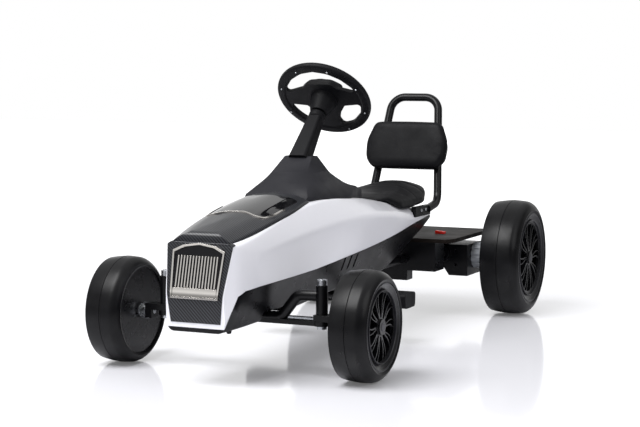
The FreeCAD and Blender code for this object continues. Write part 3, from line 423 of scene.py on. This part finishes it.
def piece(name, shape, kind, body, replaced=(), bend=35):
    """Makes a finished piece of a bmesh, smooth where its faces bend by less than an angle in degrees."""
    bmesh.ops.remove_doubles(shape, verts=shape.verts, dist=SEAM_MERGE)
    bmesh.ops.recalc_face_normals(shape, faces=shape.faces)
    for face in shape.faces:
        face.smooth = True
    for edge in shape.edges:
        edge.smooth = len(edge.link_faces) == 2 and edge.calc_face_angle(0) < math.radians(bend)
    mesh = bpy.data.meshes.new(name)
    shape.to_mesh(mesh)
    shape.free()
    return dress(show(name, mesh), kind, body, replaced)


def lathe(profile, centre, axis, steps, rounding=()):
    """Spins a profile of pairs, along the axis and away from it, into a closed ring or a capped turned form.

    rounding gives a point's number, its radius and its segments.
    """
    shape = bmesh.new()
    axis = Vector(axis).normalized()
    out = axis.orthogonal().normalized()
    spots = [shape.verts.new(Vector(centre) + axis * along + out * away) for along, away in profile]
    closed = profile[0][1] > 0 and profile[-1][1] > 0
    pairs = list(zip(spots, spots[1:])) + ([(spots[-1], spots[0])] if closed else [])
    for pair in pairs:
        shape.edges.new(pair)
    for number, radius, segments in sorted(rounding, reverse=True):
        bmesh.ops.bevel(shape, geom=[spots[number]], offset=radius, offset_type="OFFSET", segments=segments,
                        profile=0.5, affect="VERTICES", material=-1)
    bmesh.ops.spin(shape, geom=shape.verts[:] + shape.edges[:], cent=centre, axis=axis, dvec=(0, 0, 0),
                   angle=2 * math.pi, steps=steps, use_merge=True)
    bmesh.ops.remove_doubles(shape, verts=shape.verts, dist=SEAM_MERGE)
    return shape


def merge(into, other):
    """Adds another bmesh's shape to a bmesh."""
    mesh = bpy.data.meshes.new("part")
    other.to_mesh(mesh)
    other.free()
    into.from_mesh(mesh)
    bpy.data.meshes.remove(mesh)
    return into


def soften(shape, passes):
    """Wears a close mesh's edges round."""
    for _ in range(passes):
        bmesh.ops.smooth_vert(shape, verts=shape.verts, factor=0.5, use_axis_x=True, use_axis_y=True,
                              use_axis_z=True)


def turned(shape, centre, axis):
    """Turns a shape made along Z at the origin so that it points along an axis from a centre."""
    turn = Vector((0, 0, 1)).rotation_difference(Vector(axis).normalized()).to_matrix().to_4x4()
    bmesh.ops.transform(shape, matrix=Matrix.Translation(centre) @ turn, verts=shape.verts)
    return shape


def hexagon_nut(centre, axis, across, height, bore):
    """A nut with chamfered corners and the bolt's end standing out of it."""
    shape = bmesh.new()
    bmesh.ops.create_cone(shape, cap_ends=True, segments=6, radius1=across / HEX_FLATS,
                          radius2=across / HEX_FLATS, depth=height,
                          matrix=Matrix.Translation((0, 0, height / 2)))
    top = [edge for edge in shape.edges if all(corner.co.z > height / 2 for corner in edge.verts)]
    bmesh.ops.bevel(shape, geom=top, offset=across * 0.07, segments=2, profile=0.5, affect="EDGES",
                    material=-1)
    bolt = bmesh.new()
    bmesh.ops.create_cone(bolt, cap_ends=True, segments=20, radius1=bore, radius2=bore * 0.86,
                          depth=height * 1.5, matrix=Matrix.Translation((0, 0, height * 0.75)))
    return turned(merge(shape, bolt), centre, axis)


def screw_head(centre, axis, radius, height):
    """A pan head with a round recess."""
    profile = [(0, 0), (0, radius), (height * 0.5, radius * 0.97), (height * 0.85, radius * 0.75),
               (height, radius * 0.35), (height * 0.75, radius * 0.28), (height * 0.55, 0)]
    return lathe(profile, centre, axis, 20)


def even_skin(node, ending, voxel, passes):
    """An object in the shape of a CAD solid, with a close even mesh and its edges worn round."""
    shape = cad_copy(node)
    mesh = bpy.data.meshes.new(node + ending)
    shape.to_mesh(mesh)
    shape.free()
    made = show(node + ending, mesh)
    remesh = made.modifiers.new("even", "REMESH")
    remesh.mode = "VOXEL"
    remesh.voxel_size = voxel
    view = bpy.context.evaluated_depsgraph_get()
    even = bpy.data.meshes.new_from_object(made.evaluated_get(view), depsgraph=view)
    made.modifiers.remove(remesh)
    made.data = even
    shape = bmesh.new()
    shape.from_mesh(even)
    soften(shape, passes)
    for face in shape.faces:
        face.smooth = True
    shape.to_mesh(even)
    shape.free()
    return made


# Finishes and mouldings of the frame

SHELLS = ("body_shell", "tub", "hood_panel", "hood_insert", "boot", "steering_wheel", "column_cover",
          "backrest_tube", "backrest_board", "footrests")
# A shell is smooth where its faces bend by less than this, in degrees
SHELL_BEND, BOOT_BEND = 24, 75
# Mesh size of the horn pad, and how often it is smoothed
HORN_VOXEL, HORN_PASSES = 1.6 * MM, 12


class KART_OT_finishes(bpy.types.Operator):
    """Gives every part of the frame its material"""
    bl_idname = "kart.finishes"
    bl_label = "Finishes"

    def execute(self, context):
        for name, node in frame["nodes"].items():
            node.data.materials.clear()
            node.data.materials.append(finish(NODE_FINISH[name]))
        return {"FINISHED"}


class KART_OT_smooth_shells(bpy.types.Operator):
    """Shows the curved mouldings with smooth faces between their edges, and the horn pad rounded"""
    bl_idname = "kart.smooth_shells"
    bl_label = "Smooth mouldings"

    def execute(self, context):
        for name in SHELLS:
            bend = BOOT_BEND if name == "boot" else SHELL_BEND
            piece("smooth_" + name, cad_copy(name), NODE_FINISH[name], BODY_OF[name], [name], bend=bend)
        horn = even_skin("horn_pad", "_rounded", HORN_VOXEL, HORN_PASSES)
        dress(horn, NODE_FINISH["horn_pad"], BODY_OF["horn_pad"], ["horn_pad"])
        return {"FINISHED"}


# Nose

# How far back from the front the nose's faces are taken, and how far its panel goes round the corners
NOSE_REACH, NOSE_WRAP = 70 * MM, 30 * MM
# Outline of the panel's left half, from its foot up, and of the whole ground: x and z in millimetres
PANEL_HALF = [(51, 121), (68, 264), (58, 275)]
GROUND = [(44, 168), (50, 256), (-50, 256), (-44, 168)]
# How far each stands off the shell, and its wall
PANEL_GAP, PANEL_WALL = 0.15 * MM, 1.1 * MM
GROUND_GAP, GROUND_WALL = 1.3 * MM, 0.4 * MM


def front_patch(outline, gap):
    """The body shell's front skin inside a convex outline of pairs of x and z, lifted off by a gap."""
    shape = cad_copy("body_shell")
    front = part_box("body_shell")[0].y
    rest = []
    for face in shape.faces:
        spot, way = face.calc_center_median(), face.normal
        forward = way.y < -0.12
        corner = way.x * spot.x > 0 and abs(way.x) > 0.3 and abs(way.y) < 0.4
        if spot.y > front + NOSE_REACH or not (forward or corner):
            rest.append(face)
    bmesh.ops.delete(shape, geom=rest, context="FACES")
    cuts = [((first[0], 0, first[1]), (second[1] - first[1], 0, first[0] - second[0]))
            for first, second in zip(outline, outline[1:] + outline[:1])]
    for spot, way in cuts + [((0, front + NOSE_WRAP, 0), (0, 1, 0))]:
        bmesh.ops.bisect_plane(shape, geom=shape.verts[:] + shape.edges[:] + shape.faces[:], plane_co=spot,
                               plane_no=way, clear_outer=True)
    shape.normal_update()
    for vertex in shape.verts:
        vertex.co += vertex.normal * gap
    return shape


class KART_OT_nose_skin(bpy.types.Operator):
    """Lays the carbon-look nose panel round the corners and a black ground behind the grille"""
    bl_idname = "kart.nose_skin"
    bl_label = "Nose panel"

    def execute(self, context):
        outline = in_mm(PANEL_HALF + [(-x, z) for x, z in reversed(PANEL_HALF)])
        panel = piece("nose_skin", front_patch(outline, PANEL_GAP), "carbon", "chassis", ["nose_panel"],
                      bend=30)
        ground = piece("grille_ground", front_patch(in_mm(GROUND), GROUND_GAP), "satin", "chassis", bend=30)
        for made, wall in ((panel, PANEL_WALL), (ground, GROUND_WALL)):
            thick = made.modifiers.new("wall", "SOLIDIFY")
            thick.thickness = wall
            thick.offset = 1
        return {"FINISHED"}


# Wheels

RIM_GAP = 0.2 * MM
# The rear tyres' shoulder as a share of the front ones', and how far the tread's edges drop
REAR_SHOULDER = 1.3
FRONT_DROP, REAR_DROP = 4 * MM, 5 * MM
# Sections in millimetres, along the axle and away from it: from the rim's inner face and from its outer face
HUB_FLANGE = [(0, 7), (0, 13), (1.6, 13), (2, 12.4), (2, 7)]
HUB_CAP = [(-9, 0), (-9, 8.4), (-2.2, 8.4), (-1, 7.2), (-1, 0)]
# Sections of the rings: millimetres along the axle from the rim's outer face, and a share of the rim's radius.
# The step ring's share is counted inwards from FRONT_STEP or REAR_STEP.
OUTER_RING = [(-5, 0.985), (0.6, 0.985), (1.4, 0.965), (0.2, 0.94), (-5, 0.935)]
STEP_RING = [(-6, 0), (-1, 0), (0, 0.012), (-1, 0.024), (-6, 0.026)]
FRONT_STEP, REAR_STEP = 0.82, 0.84
# Facets round a ring, and round a flange or a cap
RING_STEPS, HUB_STEPS = 96, 40
# Where the spokes start and how long they are, as shares of the rim's radius
SPOKE_FOOT, SPOKE_SPAN = 0.22, 0.58
# How far outside the rim's middle the spokes lie, and the length from which their edges are divided to bend
SPOKE_DEPTH, LONG_EDGE, EDGE_CUTS = 12 * MM, 6 * MM, 6


def outward(corner):
    """+1 for a wheel whose outer side points along +X, and -1 for one on the other side."""
    return 1 if corner.endswith("left") else -1


class KART_OT_tyres(bpy.types.Operator):
    """Makes the four slick foam tyres with rounded shoulders and a mould line"""
    bl_idname = "kart.tyres"
    bl_label = "Tyres"

    def execute(self, context):
        for corner in CORNERS:
            node, rear = "tyre_" + corner, corner.startswith("rear")
            half, radius = reach(node, 0) / 2, reach(node, 2) / 2
            bead = reach("rim_" + corner, 2) / 2 + RIM_GAP
            shoulder = sizes().tyre_shoulder * (REAR_SHOULDER if rear else 1)
            drop = REAR_DROP if rear else FRONT_DROP
            # along the axle and away from it, from the bead over the shoulder to the mould line
            side = [(half - 2 * MM, bead), (half, bead + 6 * MM), (half - 1 * MM, radius - shoulder),
                    (half - 6 * MM, radius - drop), (half * 0.45, radius - 0.8 * MM),
                    (sizes().tyre_seam, radius)]
            profile = [(-along, away) for along, away in side] + [(0, radius - 1 * MM)] + side[::-1]
            # number of the point, its radius and its segments
            rounds = [(1, 3 * MM, 4), (3, 13 * MM, 8), (4, 20 * MM, 3)]
            rounds += [(len(profile) - 1 - number, bow, segments) for number, bow, segments in rounds]
            shape = lathe(profile, middle(node), (1, 0, 0), sizes().tyre_steps, rounds)
            piece(node + "_foam", shape, "tyre", "wheel_" + corner, [node], bend=50)
        return {"FINISHED"}


def bent_spokes(rim, side):
    """A copy of a rim whose spokes bend sideways, most of all half-way from hub to ring."""
    shape = cad_copy(rim)
    centre, radius = middle(rim), reach(rim, 2) / 2
    outer = {face for face in shape.faces if (face.calc_center_median().x - centre.x) * side > SPOKE_DEPTH}
    long = [edge for edge in shape.edges
            if edge.calc_length() > LONG_EDGE and any(face in outer for face in edge.link_faces)]
    bmesh.ops.subdivide_edges(shape, edges=long, cuts=EDGE_CUTS, use_grid_fill=True)
    bmesh.ops.triangulate(shape, faces=shape.faces)
    for vertex in shape.verts:
        off = vertex.co - centre
        share = min(max((math.hypot(off.y, off.z) / radius - SPOKE_FOOT) / SPOKE_SPAN, 0), 1)
        turn = sizes().spoke_curve * side * math.sin(math.pi * share)
        vertex.co.y = centre.y + off.y * math.cos(turn) - off.z * math.sin(turn)
        vertex.co.z = centre.z + off.y * math.sin(turn) + off.z * math.cos(turn)
    return shape


class KART_OT_rim_trim(bpy.types.Operator):
    """Makes the rims with curved spokes, their outer rings, hub caps and the flanges of their inner side"""
    bl_idname = "kart.rim_trim"
    bl_label = "Rim trim"

    def execute(self, context):
        for corner in CORNERS:
            rim, body, side = "rim_" + corner, "wheel_" + corner, outward(corner)
            centre, radius = middle(rim), reach(rim, 2) / 2
            ends = [Vector((spot.x, centre.y, centre.z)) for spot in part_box(rim)]
            inner, outer = ends if side > 0 else ends[::-1]
            piece("spoked_" + rim, bent_spokes(rim, side), "rim", body, [rim], bend=14)
            step = REAR_STEP if corner.startswith("rear") else FRONT_STEP
            lip = [(along * MM, radius * share) for along, share in OUTER_RING]
            low_lip = [(along * MM, radius * (step - share)) for along, share in STEP_RING]
            way = (side, 0, 0)
            ring = merge(lathe(lip, outer, way, RING_STEPS), lathe(low_lip, outer, way, RING_STEPS))
            # the ring's lighter colour is a painted highlight on the rim's edge
            piece("rim_ring_" + corner, ring, "ring", body, bend=30)
            flange = lathe(in_mm(HUB_FLANGE), inner, (-side, 0, 0), HUB_STEPS)
            piece("hub_flange_" + corner, flange, "zinc", body, bend=30)
            cap = lathe(in_mm(HUB_CAP), outer, way, HUB_STEPS)
            piece("hub_cap_" + corner, cap, "cap", body, bend=30)
        return {"FINISHED"}


# Pads

PAD_VOXEL = 4 * MM
# How often a pad is smoothed before it is filled and after
EMPTY_PASSES, FILLED_PASSES = 4, 5
FILLING_FRAMES, FULL_PRESSURE = 20, 3
SEAM_WIDTH, FOLD_WIDTH = 3.5 * MM, 4 * MM
# The seat's folds from its back, and its seam's height above its foot
SEAT_FOLDS = (62 * MM, 128 * MM)
SEAT_SEAM_HEIGHT = 17 * MM
# The way that the backrest's front faces, and its seam's place from its back edge along that way
BACKREST_LEAN = (0, -1, 0.29)
BACKREST_SEAM_DEPTH, BACKREST_SEAM_SHIFT = 10 * MM, 8 * MM


def swell(made, limit, pressure):
    """Pumps a pad's cover up with cloth pressure, holds every point within a limit, and keeps the result."""
    rest = [v.co.copy() for v in made.data.vertices]
    cloth = made.modifiers.new("filling", "CLOTH")
    cloth.settings.quality = 6
    cloth.settings.mass = 0.3
    cloth.settings.tension_stiffness = 25
    cloth.settings.compression_stiffness = 25
    cloth.settings.bending_stiffness = 0.8
    cloth.settings.use_pressure = True
    cloth.settings.uniform_pressure_force = pressure
    cloth.settings.effector_weights.gravity = 0
    cloth.point_cache.frame_start = 1
    cloth.point_cache.frame_end = FILLING_FRAMES
    for number in range(1, FILLING_FRAMES + 1):
        bpy.context.scene.frame_set(number)
    shown = made.evaluated_get(bpy.context.evaluated_depsgraph_get())
    moved = [v.co.copy() for v in shown.to_mesh().vertices]
    shown.to_mesh_clear()
    made.modifiers.remove(cloth)
    for vertex, old, new in zip(made.data.vertices, rest, moved):
        step = new - old
        vertex.co = old + step * min(1.0, limit / max(step.length, 1e-9))
    bpy.context.scene.frame_set(1)


def groove(distance, width):
    """How deep a sewn groove is at a distance from its middle, as a share of its depth."""
    return math.exp(-(distance / width) ** 2)


def upholster(node, seam_axis, seam_at, start_in, puff=1, fuller=0, folds=()):
    """A sewn pad in the place of its CAD solid: a swollen cover with one seam round its side.

    seam_at is where the seam lies along its axis, start_in how far inside the solid the filling starts, puff
    its share of the allowed swelling, fuller the widening of the pad's top and foot, and folds how far from
    the pad's back the sewn folds lie.
    """
    made = even_skin(node, "_cover", PAD_VOXEL, EMPTY_PASSES)
    even = made.data
    shape = bmesh.new()
    shape.from_mesh(even)
    shape.normal_update()
    for vertex in shape.verts:
        vertex.co -= vertex.normal * start_in
    shape.to_mesh(even)
    shape.free()
    swell(made, sizes().pad_puff * puff, FULL_PRESSURE * puff)
    shape = bmesh.new()
    shape.from_mesh(even)
    soften(shape, FILLED_PASSES)
    shape.normal_update()
    low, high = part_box(node)
    along, depth = Vector(seam_axis).normalized(), sizes().seam_depth
    # the seam, then the width, then folds that bow forwards to the pad's sides by x squared, in metres
    for vertex in shape.verts:
        side = 1 - abs(vertex.normal.dot(along))
        vertex.co -= vertex.normal * depth * side * groove(vertex.co.dot(along) - seam_at, SEAM_WIDTH)
        up = (2 * vertex.co.z - low.z - high.z) / (high.z - low.z)
        vertex.co.x *= 1 + fuller * up * up
        for fold in folds:
            off = high.y - vertex.co.y - fold - vertex.co.x * vertex.co.x
            vertex.co.z -= depth * max(vertex.normal.z, 0) * groove(off, FOLD_WIDTH)
    for face in shape.faces:
        face.smooth = True
    shape.to_mesh(even)
    shape.free()
    finer = made.modifiers.new("finer", "SUBSURF")
    finer.levels = finer.render_levels = 1
    return dress(made, "pad", BODY_OF[node], [node])


class KART_OT_pads(bpy.types.Operator):
    """Makes the seat cushion and the backrest cushion as sewn, filled covers"""
    bl_idname = "kart.pads"
    bl_label = "Seat and backrest pads"

    def execute(self, context):
        lean = Vector(BACKREST_LEAN).normalized()
        back = Vector((0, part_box("backrest_pad")[1].y - BACKREST_SEAM_DEPTH, middle("backrest_pad").z))
        backrest = upholster("backrest_pad", lean, back.dot(lean) - BACKREST_SEAM_SHIFT, start_in=0.4 * MM,
                             puff=0.2, fuller=0.06)
        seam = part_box("seat_pad")[0].z + SEAT_SEAM_HEIGHT
        seat = upholster("seat_pad", (0, 0, 1), seam, start_in=0.8 * MM, puff=0.5, folds=SEAT_FOLDS)
        return {"FINISHED"}


# Fasteners, switch and stops

# Screws of the steering wheel: number, radius of their circle, and how far before the hub's point they sit
STEERING_SCREWS = 8
SCREW_CIRCLE, SCREW_SEAT, SCREW_HEIGHT = 92.5 * MM, 9.2 * MM, 1.6 * MM
# Nuts of the kingpins; a nut's foot lies NUT_DROP below the pin's top
KINGPIN_X, KINGPIN_Y = 167.5 * MM, -446 * MM
NUT_ACROSS, NUT_HEIGHT, NUT_BORE, NUT_DROP = 15 * MM, 8 * MM, 4 * MM, 12 * MM
# Bolts in the feet of the backrest's tube: two a side, one behind the other
BOLT_ROW = (296 * MM, 326 * MM)
BOLT_X, BOLT_Z = 89.6 * MM, 258 * MM
BOLT_RADIUS, BOLT_HEIGHT = 4.2 * MM, 2.4 * MM
# How far the rocker's raised side stands above its rim, and the radius of its edges
ROCKER_RAISED, ROCKER_ROUND = 2.5 * MM, 1.2 * MM
# The left stop's foot, and the stop's section in millimetres, downwards and outwards
STOP_PLACE = (45 * MM, -590 * MM, 108 * MM)
STOP = [(0, 0), (0, 5), (7, 5), (10, 4), (11, 0)]


class KART_OT_fasteners(bpy.types.Operator):
    """Makes the screws of the steering wheel, the nuts of the kingpins and the bolts of the backrest"""
    bl_idname = "kart.fasteners"
    bl_label = "Fasteners"

    def execute(self, context):
        joint = next(j for j in frame["joints"] if j["name"] == "steering_turn")
        hub, axis = Vector(joint["pos_m"]), Vector(joint["axis"]).normalized()
        across = Vector((1, 0, 0))
        up = axis.cross(across).normalized()
        screws = bmesh.new()
        for number in range(STEERING_SCREWS):
            angle = math.tau * (number + 0.5) / STEERING_SCREWS
            spot = hub + (across * math.cos(angle) + up * math.sin(angle)) * SCREW_CIRCLE - axis * SCREW_SEAT
            merge(screws, screw_head(spot, -axis, sizes().screw, SCREW_HEIGHT))
        piece("steering_wheel_screws", screws, "zinc", "steering")
        bolts = bmesh.new()
        for side, name in ((1, "left"), (-1, "right")):
            spot = Vector((side * KINGPIN_X, KINGPIN_Y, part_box("axle_pins_" + name)[1].z - NUT_DROP))
            nut = hexagon_nut(spot, (0, 0, 1), NUT_ACROSS, NUT_HEIGHT, NUT_BORE)
            piece("kingpin_nut_knuckle_" + name, nut, "zinc", "knuckle_" + name)
            for back in BOLT_ROW:
                spot = Vector((side * BOLT_X, back, BOLT_Z))
                merge(bolts, screw_head(spot, (side, 0, 0), BOLT_RADIUS, BOLT_HEIGHT))
        piece("backrest_bolts", bolts, "zinc", "chassis")
        return {"FINISHED"}


class KART_OT_switch_rocker(bpy.types.Operator):
    """Makes the red rocker that stands out of the rear box's cover"""
    bl_idname = "kart.switch_rocker"
    bl_label = "Switch rocker"

    def execute(self, context):
        low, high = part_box("power_switch")
        shape = bmesh.new()
        bmesh.ops.create_cube(shape, size=1)
        for vertex in shape.verts:
            top = high.z + (ROCKER_RAISED if vertex.co.x < 0 else 0)
            vertex.co = Vector((low.x if vertex.co.x < 0 else high.x, low.y if vertex.co.y < 0 else high.y,
                                low.z if vertex.co.z < 0 else top))
        bmesh.ops.bevel(shape, geom=shape.edges[:], offset=ROCKER_ROUND, segments=3, profile=0.5,
                        affect="EDGES", material=-1)
        piece("switch_rocker", shape, "switch", "chassis", ["power_switch"])
        return {"FINISHED"}


class KART_OT_tub_knob(bpy.types.Operator):
    """Makes the small rubber stops under the front of the tub"""
    bl_idname = "kart.tub_knob"
    bl_label = "Tub stops"

    def execute(self, context):
        knobs = bmesh.new()
        for side in (1, -1):
            spot = (side * STOP_PLACE[0], *STOP_PLACE[1:])
            merge(knobs, lathe(in_mm(STOP), spot, (0, 0, -1), 24))
        piece("tub_stops", knobs, "satin", "chassis")
        return {"FINISHED"}


# Studio. The camera's direction and roll are in degrees.

AZIMUTH, ELEVATION, ROLL = 24.0061, 5.081, 0.2213
CAMERA_PLACE = (1.3930, -3.2075, 0.5817)
LENS, SENSOR = 90.9, 36
FLOOR_HALF = 12
# Lamps: place, size and power in watts; both aim at the kart's middle
LAMP_AIM = (0, 0, 0.2)
LAMPS = {
    "key_softbox": ((-0.6, -1.6, 2.6), 1.8, 91),
    "side_softbox": ((2.4, -0.6, 1.6), 1.6, 13),
}
# What glossy surfaces mirror: an axis of the direction, two places along it, and the brightness at each
SKY = {
    "front": ("Z", 0.02, 0.2, 0.3, 0.85),
    "back": ("Y", -0.3, 0.5, 0.0, 1.0),
    "above": ("Z", 0.2, 0.9, 0.0, 0.85),
    "left": ("X", -0.1, 0.45, 1.0, 0.22),
    "low": ("Z", 0.16, 0.42, 1.0, 0.55),
}


def camera_place(azimuth, elevation, roll, place):
    """A camera's matrix from its direction, in degrees, and its place."""
    a, e, r = (math.radians(v) for v in (azimuth, elevation, roll))
    back = Vector((math.sin(a) * math.cos(e), -math.cos(a) * math.cos(e), math.sin(e)))
    level = Vector((math.cos(a), math.sin(a), 0))
    above = back.cross(level)
    right = level * math.cos(r) + above * math.sin(r)
    turn = Matrix((right, back.cross(right), back)).transposed().to_4x4()
    return Matrix.Translation(place) @ turn


def softbox(name, place, size, power):
    """A square soft lamp that aims at the kart."""
    data = bpy.data.lights.new(name, "AREA")
    data.shape = "SQUARE"
    data.size = size
    data.energy = power
    turn = (Vector(place) - Vector(LAMP_AIM)).to_track_quat("Z", "Y").to_matrix().to_4x4()
    show(name, data).matrix_world = Matrix.Translation(place) @ turn


def polished_floor():
    """White acrylic sheet, polished: it mirrors the kart, and melts into the background far away."""
    material, tree, place = start("acrylic_white_polished")
    path = add(tree, "LightPath")
    away = add(tree, "VectorMath", {"operation": "LENGTH"}, {0: (place, "Object")})
    fade = add(tree, "MapRange", {"interpolation_type": "SMOOTHSTEP"}, {
        "Value": (away, "Value"), "From Min": 0.8, "From Max": 2.2, "To Min": 0.11, "To Max": 0.6})
    lift = add(tree, "Math", {"operation": "MULTIPLY"}, {0: (path, "Is Camera Ray"), 1: (fade, 0)})
    # far away, glossy rays see the floor grey instead of white: painted shade in the reflections of glossy parts
    far = add(tree, "MapRange", {"interpolation_type": "SMOOTHSTEP"}, {
        "Value": (away, "Value"), "From Min": 0.9, "From Max": 1.8})
    painted_reflection_mask = add(tree, "Math", {"operation": "MULTIPLY"}, {0: (path, "Is Glossy Ray"), 1: (far, 0)})
    paint = add(tree, "Mix", {"data_type": "RGBA"}, {0: (painted_reflection_mask, 0), 6: opaque(colours().floor),
                                                    7: opaque(colours().floor_painted_reflection)})
    shader = add(tree, "BsdfPrincipled", None, {
        "Base Color": (paint, 2), "Roughness": 0.1, "IOR": 1.6,
        "Emission Color": (1, 1, 1, 1), "Emission Strength": (lift, 0)})
    return close(material, tree, shader)


def studio_world():
    """A white room: white to the camera, even light on dull surfaces, and bands of light in glossy ones."""
    world = bpy.data.worlds.new("studio")
    world.use_nodes = True
    tree = world.node_tree
    tree.nodes.clear()
    path, way = add(tree, "LightPath"), add(tree, "TexCoord")
    split = add(tree, "SeparateXYZ", None, {"Vector": (way, "Generated")})
    band = {}
    for name, (axis, begin, end, first, last) in SKY.items():
        band[name] = add(tree, "MapRange", {"interpolation_type": "SMOOTHSTEP"}, {
            "Value": (split, axis), "From Min": begin, "From Max": end, "To Min": first, "To Max": last})
    behind = add(tree, "Mix", {"data_type": "FLOAT"}, {0: (band["back"], 0), 2: (band["front"], 0), 3: 1.0})
    sided = add(tree, "Math", {"operation": "MULTIPLY"}, {0: (behind, 0), 1: (band["left"], 0)})
    banded = add(tree, "Math", {"operation": "MULTIPLY"}, {0: (sided, 0), 1: (band["low"], 0)})
    mirrored = add(tree, "Math", {"operation": "MAXIMUM"}, {0: (banded, 0), 1: (band["above"], 0)})
    soft = add(tree, "Mix", {"data_type": "FLOAT"}, {0: (path, "Is Glossy Ray"), 2: 0.5, 3: (mirrored, 0)})
    level = add(tree, "Mix", {"data_type": "FLOAT"}, {0: (path, "Is Camera Ray"), 2: (soft, 0), 3: 1.0})
    sky = add(tree, "Background", None, {"Color": (1, 1, 1, 1), "Strength": (level, 0)})
    add(tree, "OutputWorld", None, {"Surface": (sky, 0)})
    return world


class KART_OT_stage(bpy.types.Operator):
    """Sets up the glossy white floor, the room, the soft lamps and the camera"""
    bl_idname = "kart.stage"
    bl_label = "Stage"

    def execute(self, context):
        scene = context.scene
        scene.view_settings.view_transform = "Standard"
        ground = bmesh.new()
        bmesh.ops.create_grid(ground, x_segments=1, y_segments=1, size=FLOOR_HALF)
        mesh = bpy.data.meshes.new("floor")
        ground.to_mesh(mesh)
        ground.free()
        mesh.materials.append(polished_floor())
        floor = show("floor", mesh)
        scene.world = studio_world()
        for name, (place, size, power) in LAMPS.items():
            softbox(name, place, size, power)
        data = bpy.data.cameras.new("camera")
        data.lens = LENS
        data.sensor_width = SENSOR
        data.clip_end = 60
        camera = show("camera", data)
        camera.matrix_world = camera_place(AZIMUTH, ELEVATION, ROLL, CAMERA_PLACE)
        scene.camera = camera
        return {"FINISHED"}


OPERATORS = (KART_OT_stage, KART_OT_finishes, KART_OT_smooth_shells, KART_OT_nose_skin, KART_OT_tyres,
             KART_OT_rim_trim, KART_OT_pads, KART_OT_fasteners, KART_OT_switch_rocker, KART_OT_tub_knob)


class KART_PT_panel(bpy.types.Panel):
    """Lists the sizes, the colours and the pieces of the go-kart"""
    bl_idname = "KART_PT_panel"
    bl_label = "Go-kart"
    bl_space_type = "VIEW_3D"
    bl_region_type = "UI"
    bl_category = "Go-kart"

    def draw(self, context):
        for group in (context.scene.kart_sizes, context.scene.kart_colours):
            for name in group.__annotations__:
                self.layout.prop(group, name)
        for operator in OPERATORS:
            self.layout.operator(operator.bl_idname)


CLASSES = (KartSizes, KartColours, *OPERATORS, KART_PT_panel)


def register():
    for item in CLASSES:
        bpy.utils.register_class(item)
    bpy.types.Scene.kart_sizes = PointerProperty(type=KartSizes)
    bpy.types.Scene.kart_colours = PointerProperty(type=KartColours)


def unregister():
    del bpy.types.Scene.kart_colours
    del bpy.types.Scene.kart_sizes
    for item in reversed(CLASSES):
        bpy.utils.unregister_class(item)


def main():
    """Makes every piece."""
    register()
    for operator in OPERATORS:
        area, name = operator.bl_idname.split(".")
        getattr(getattr(bpy.ops, area), name)()


if __name__ == "__main__":
    main()
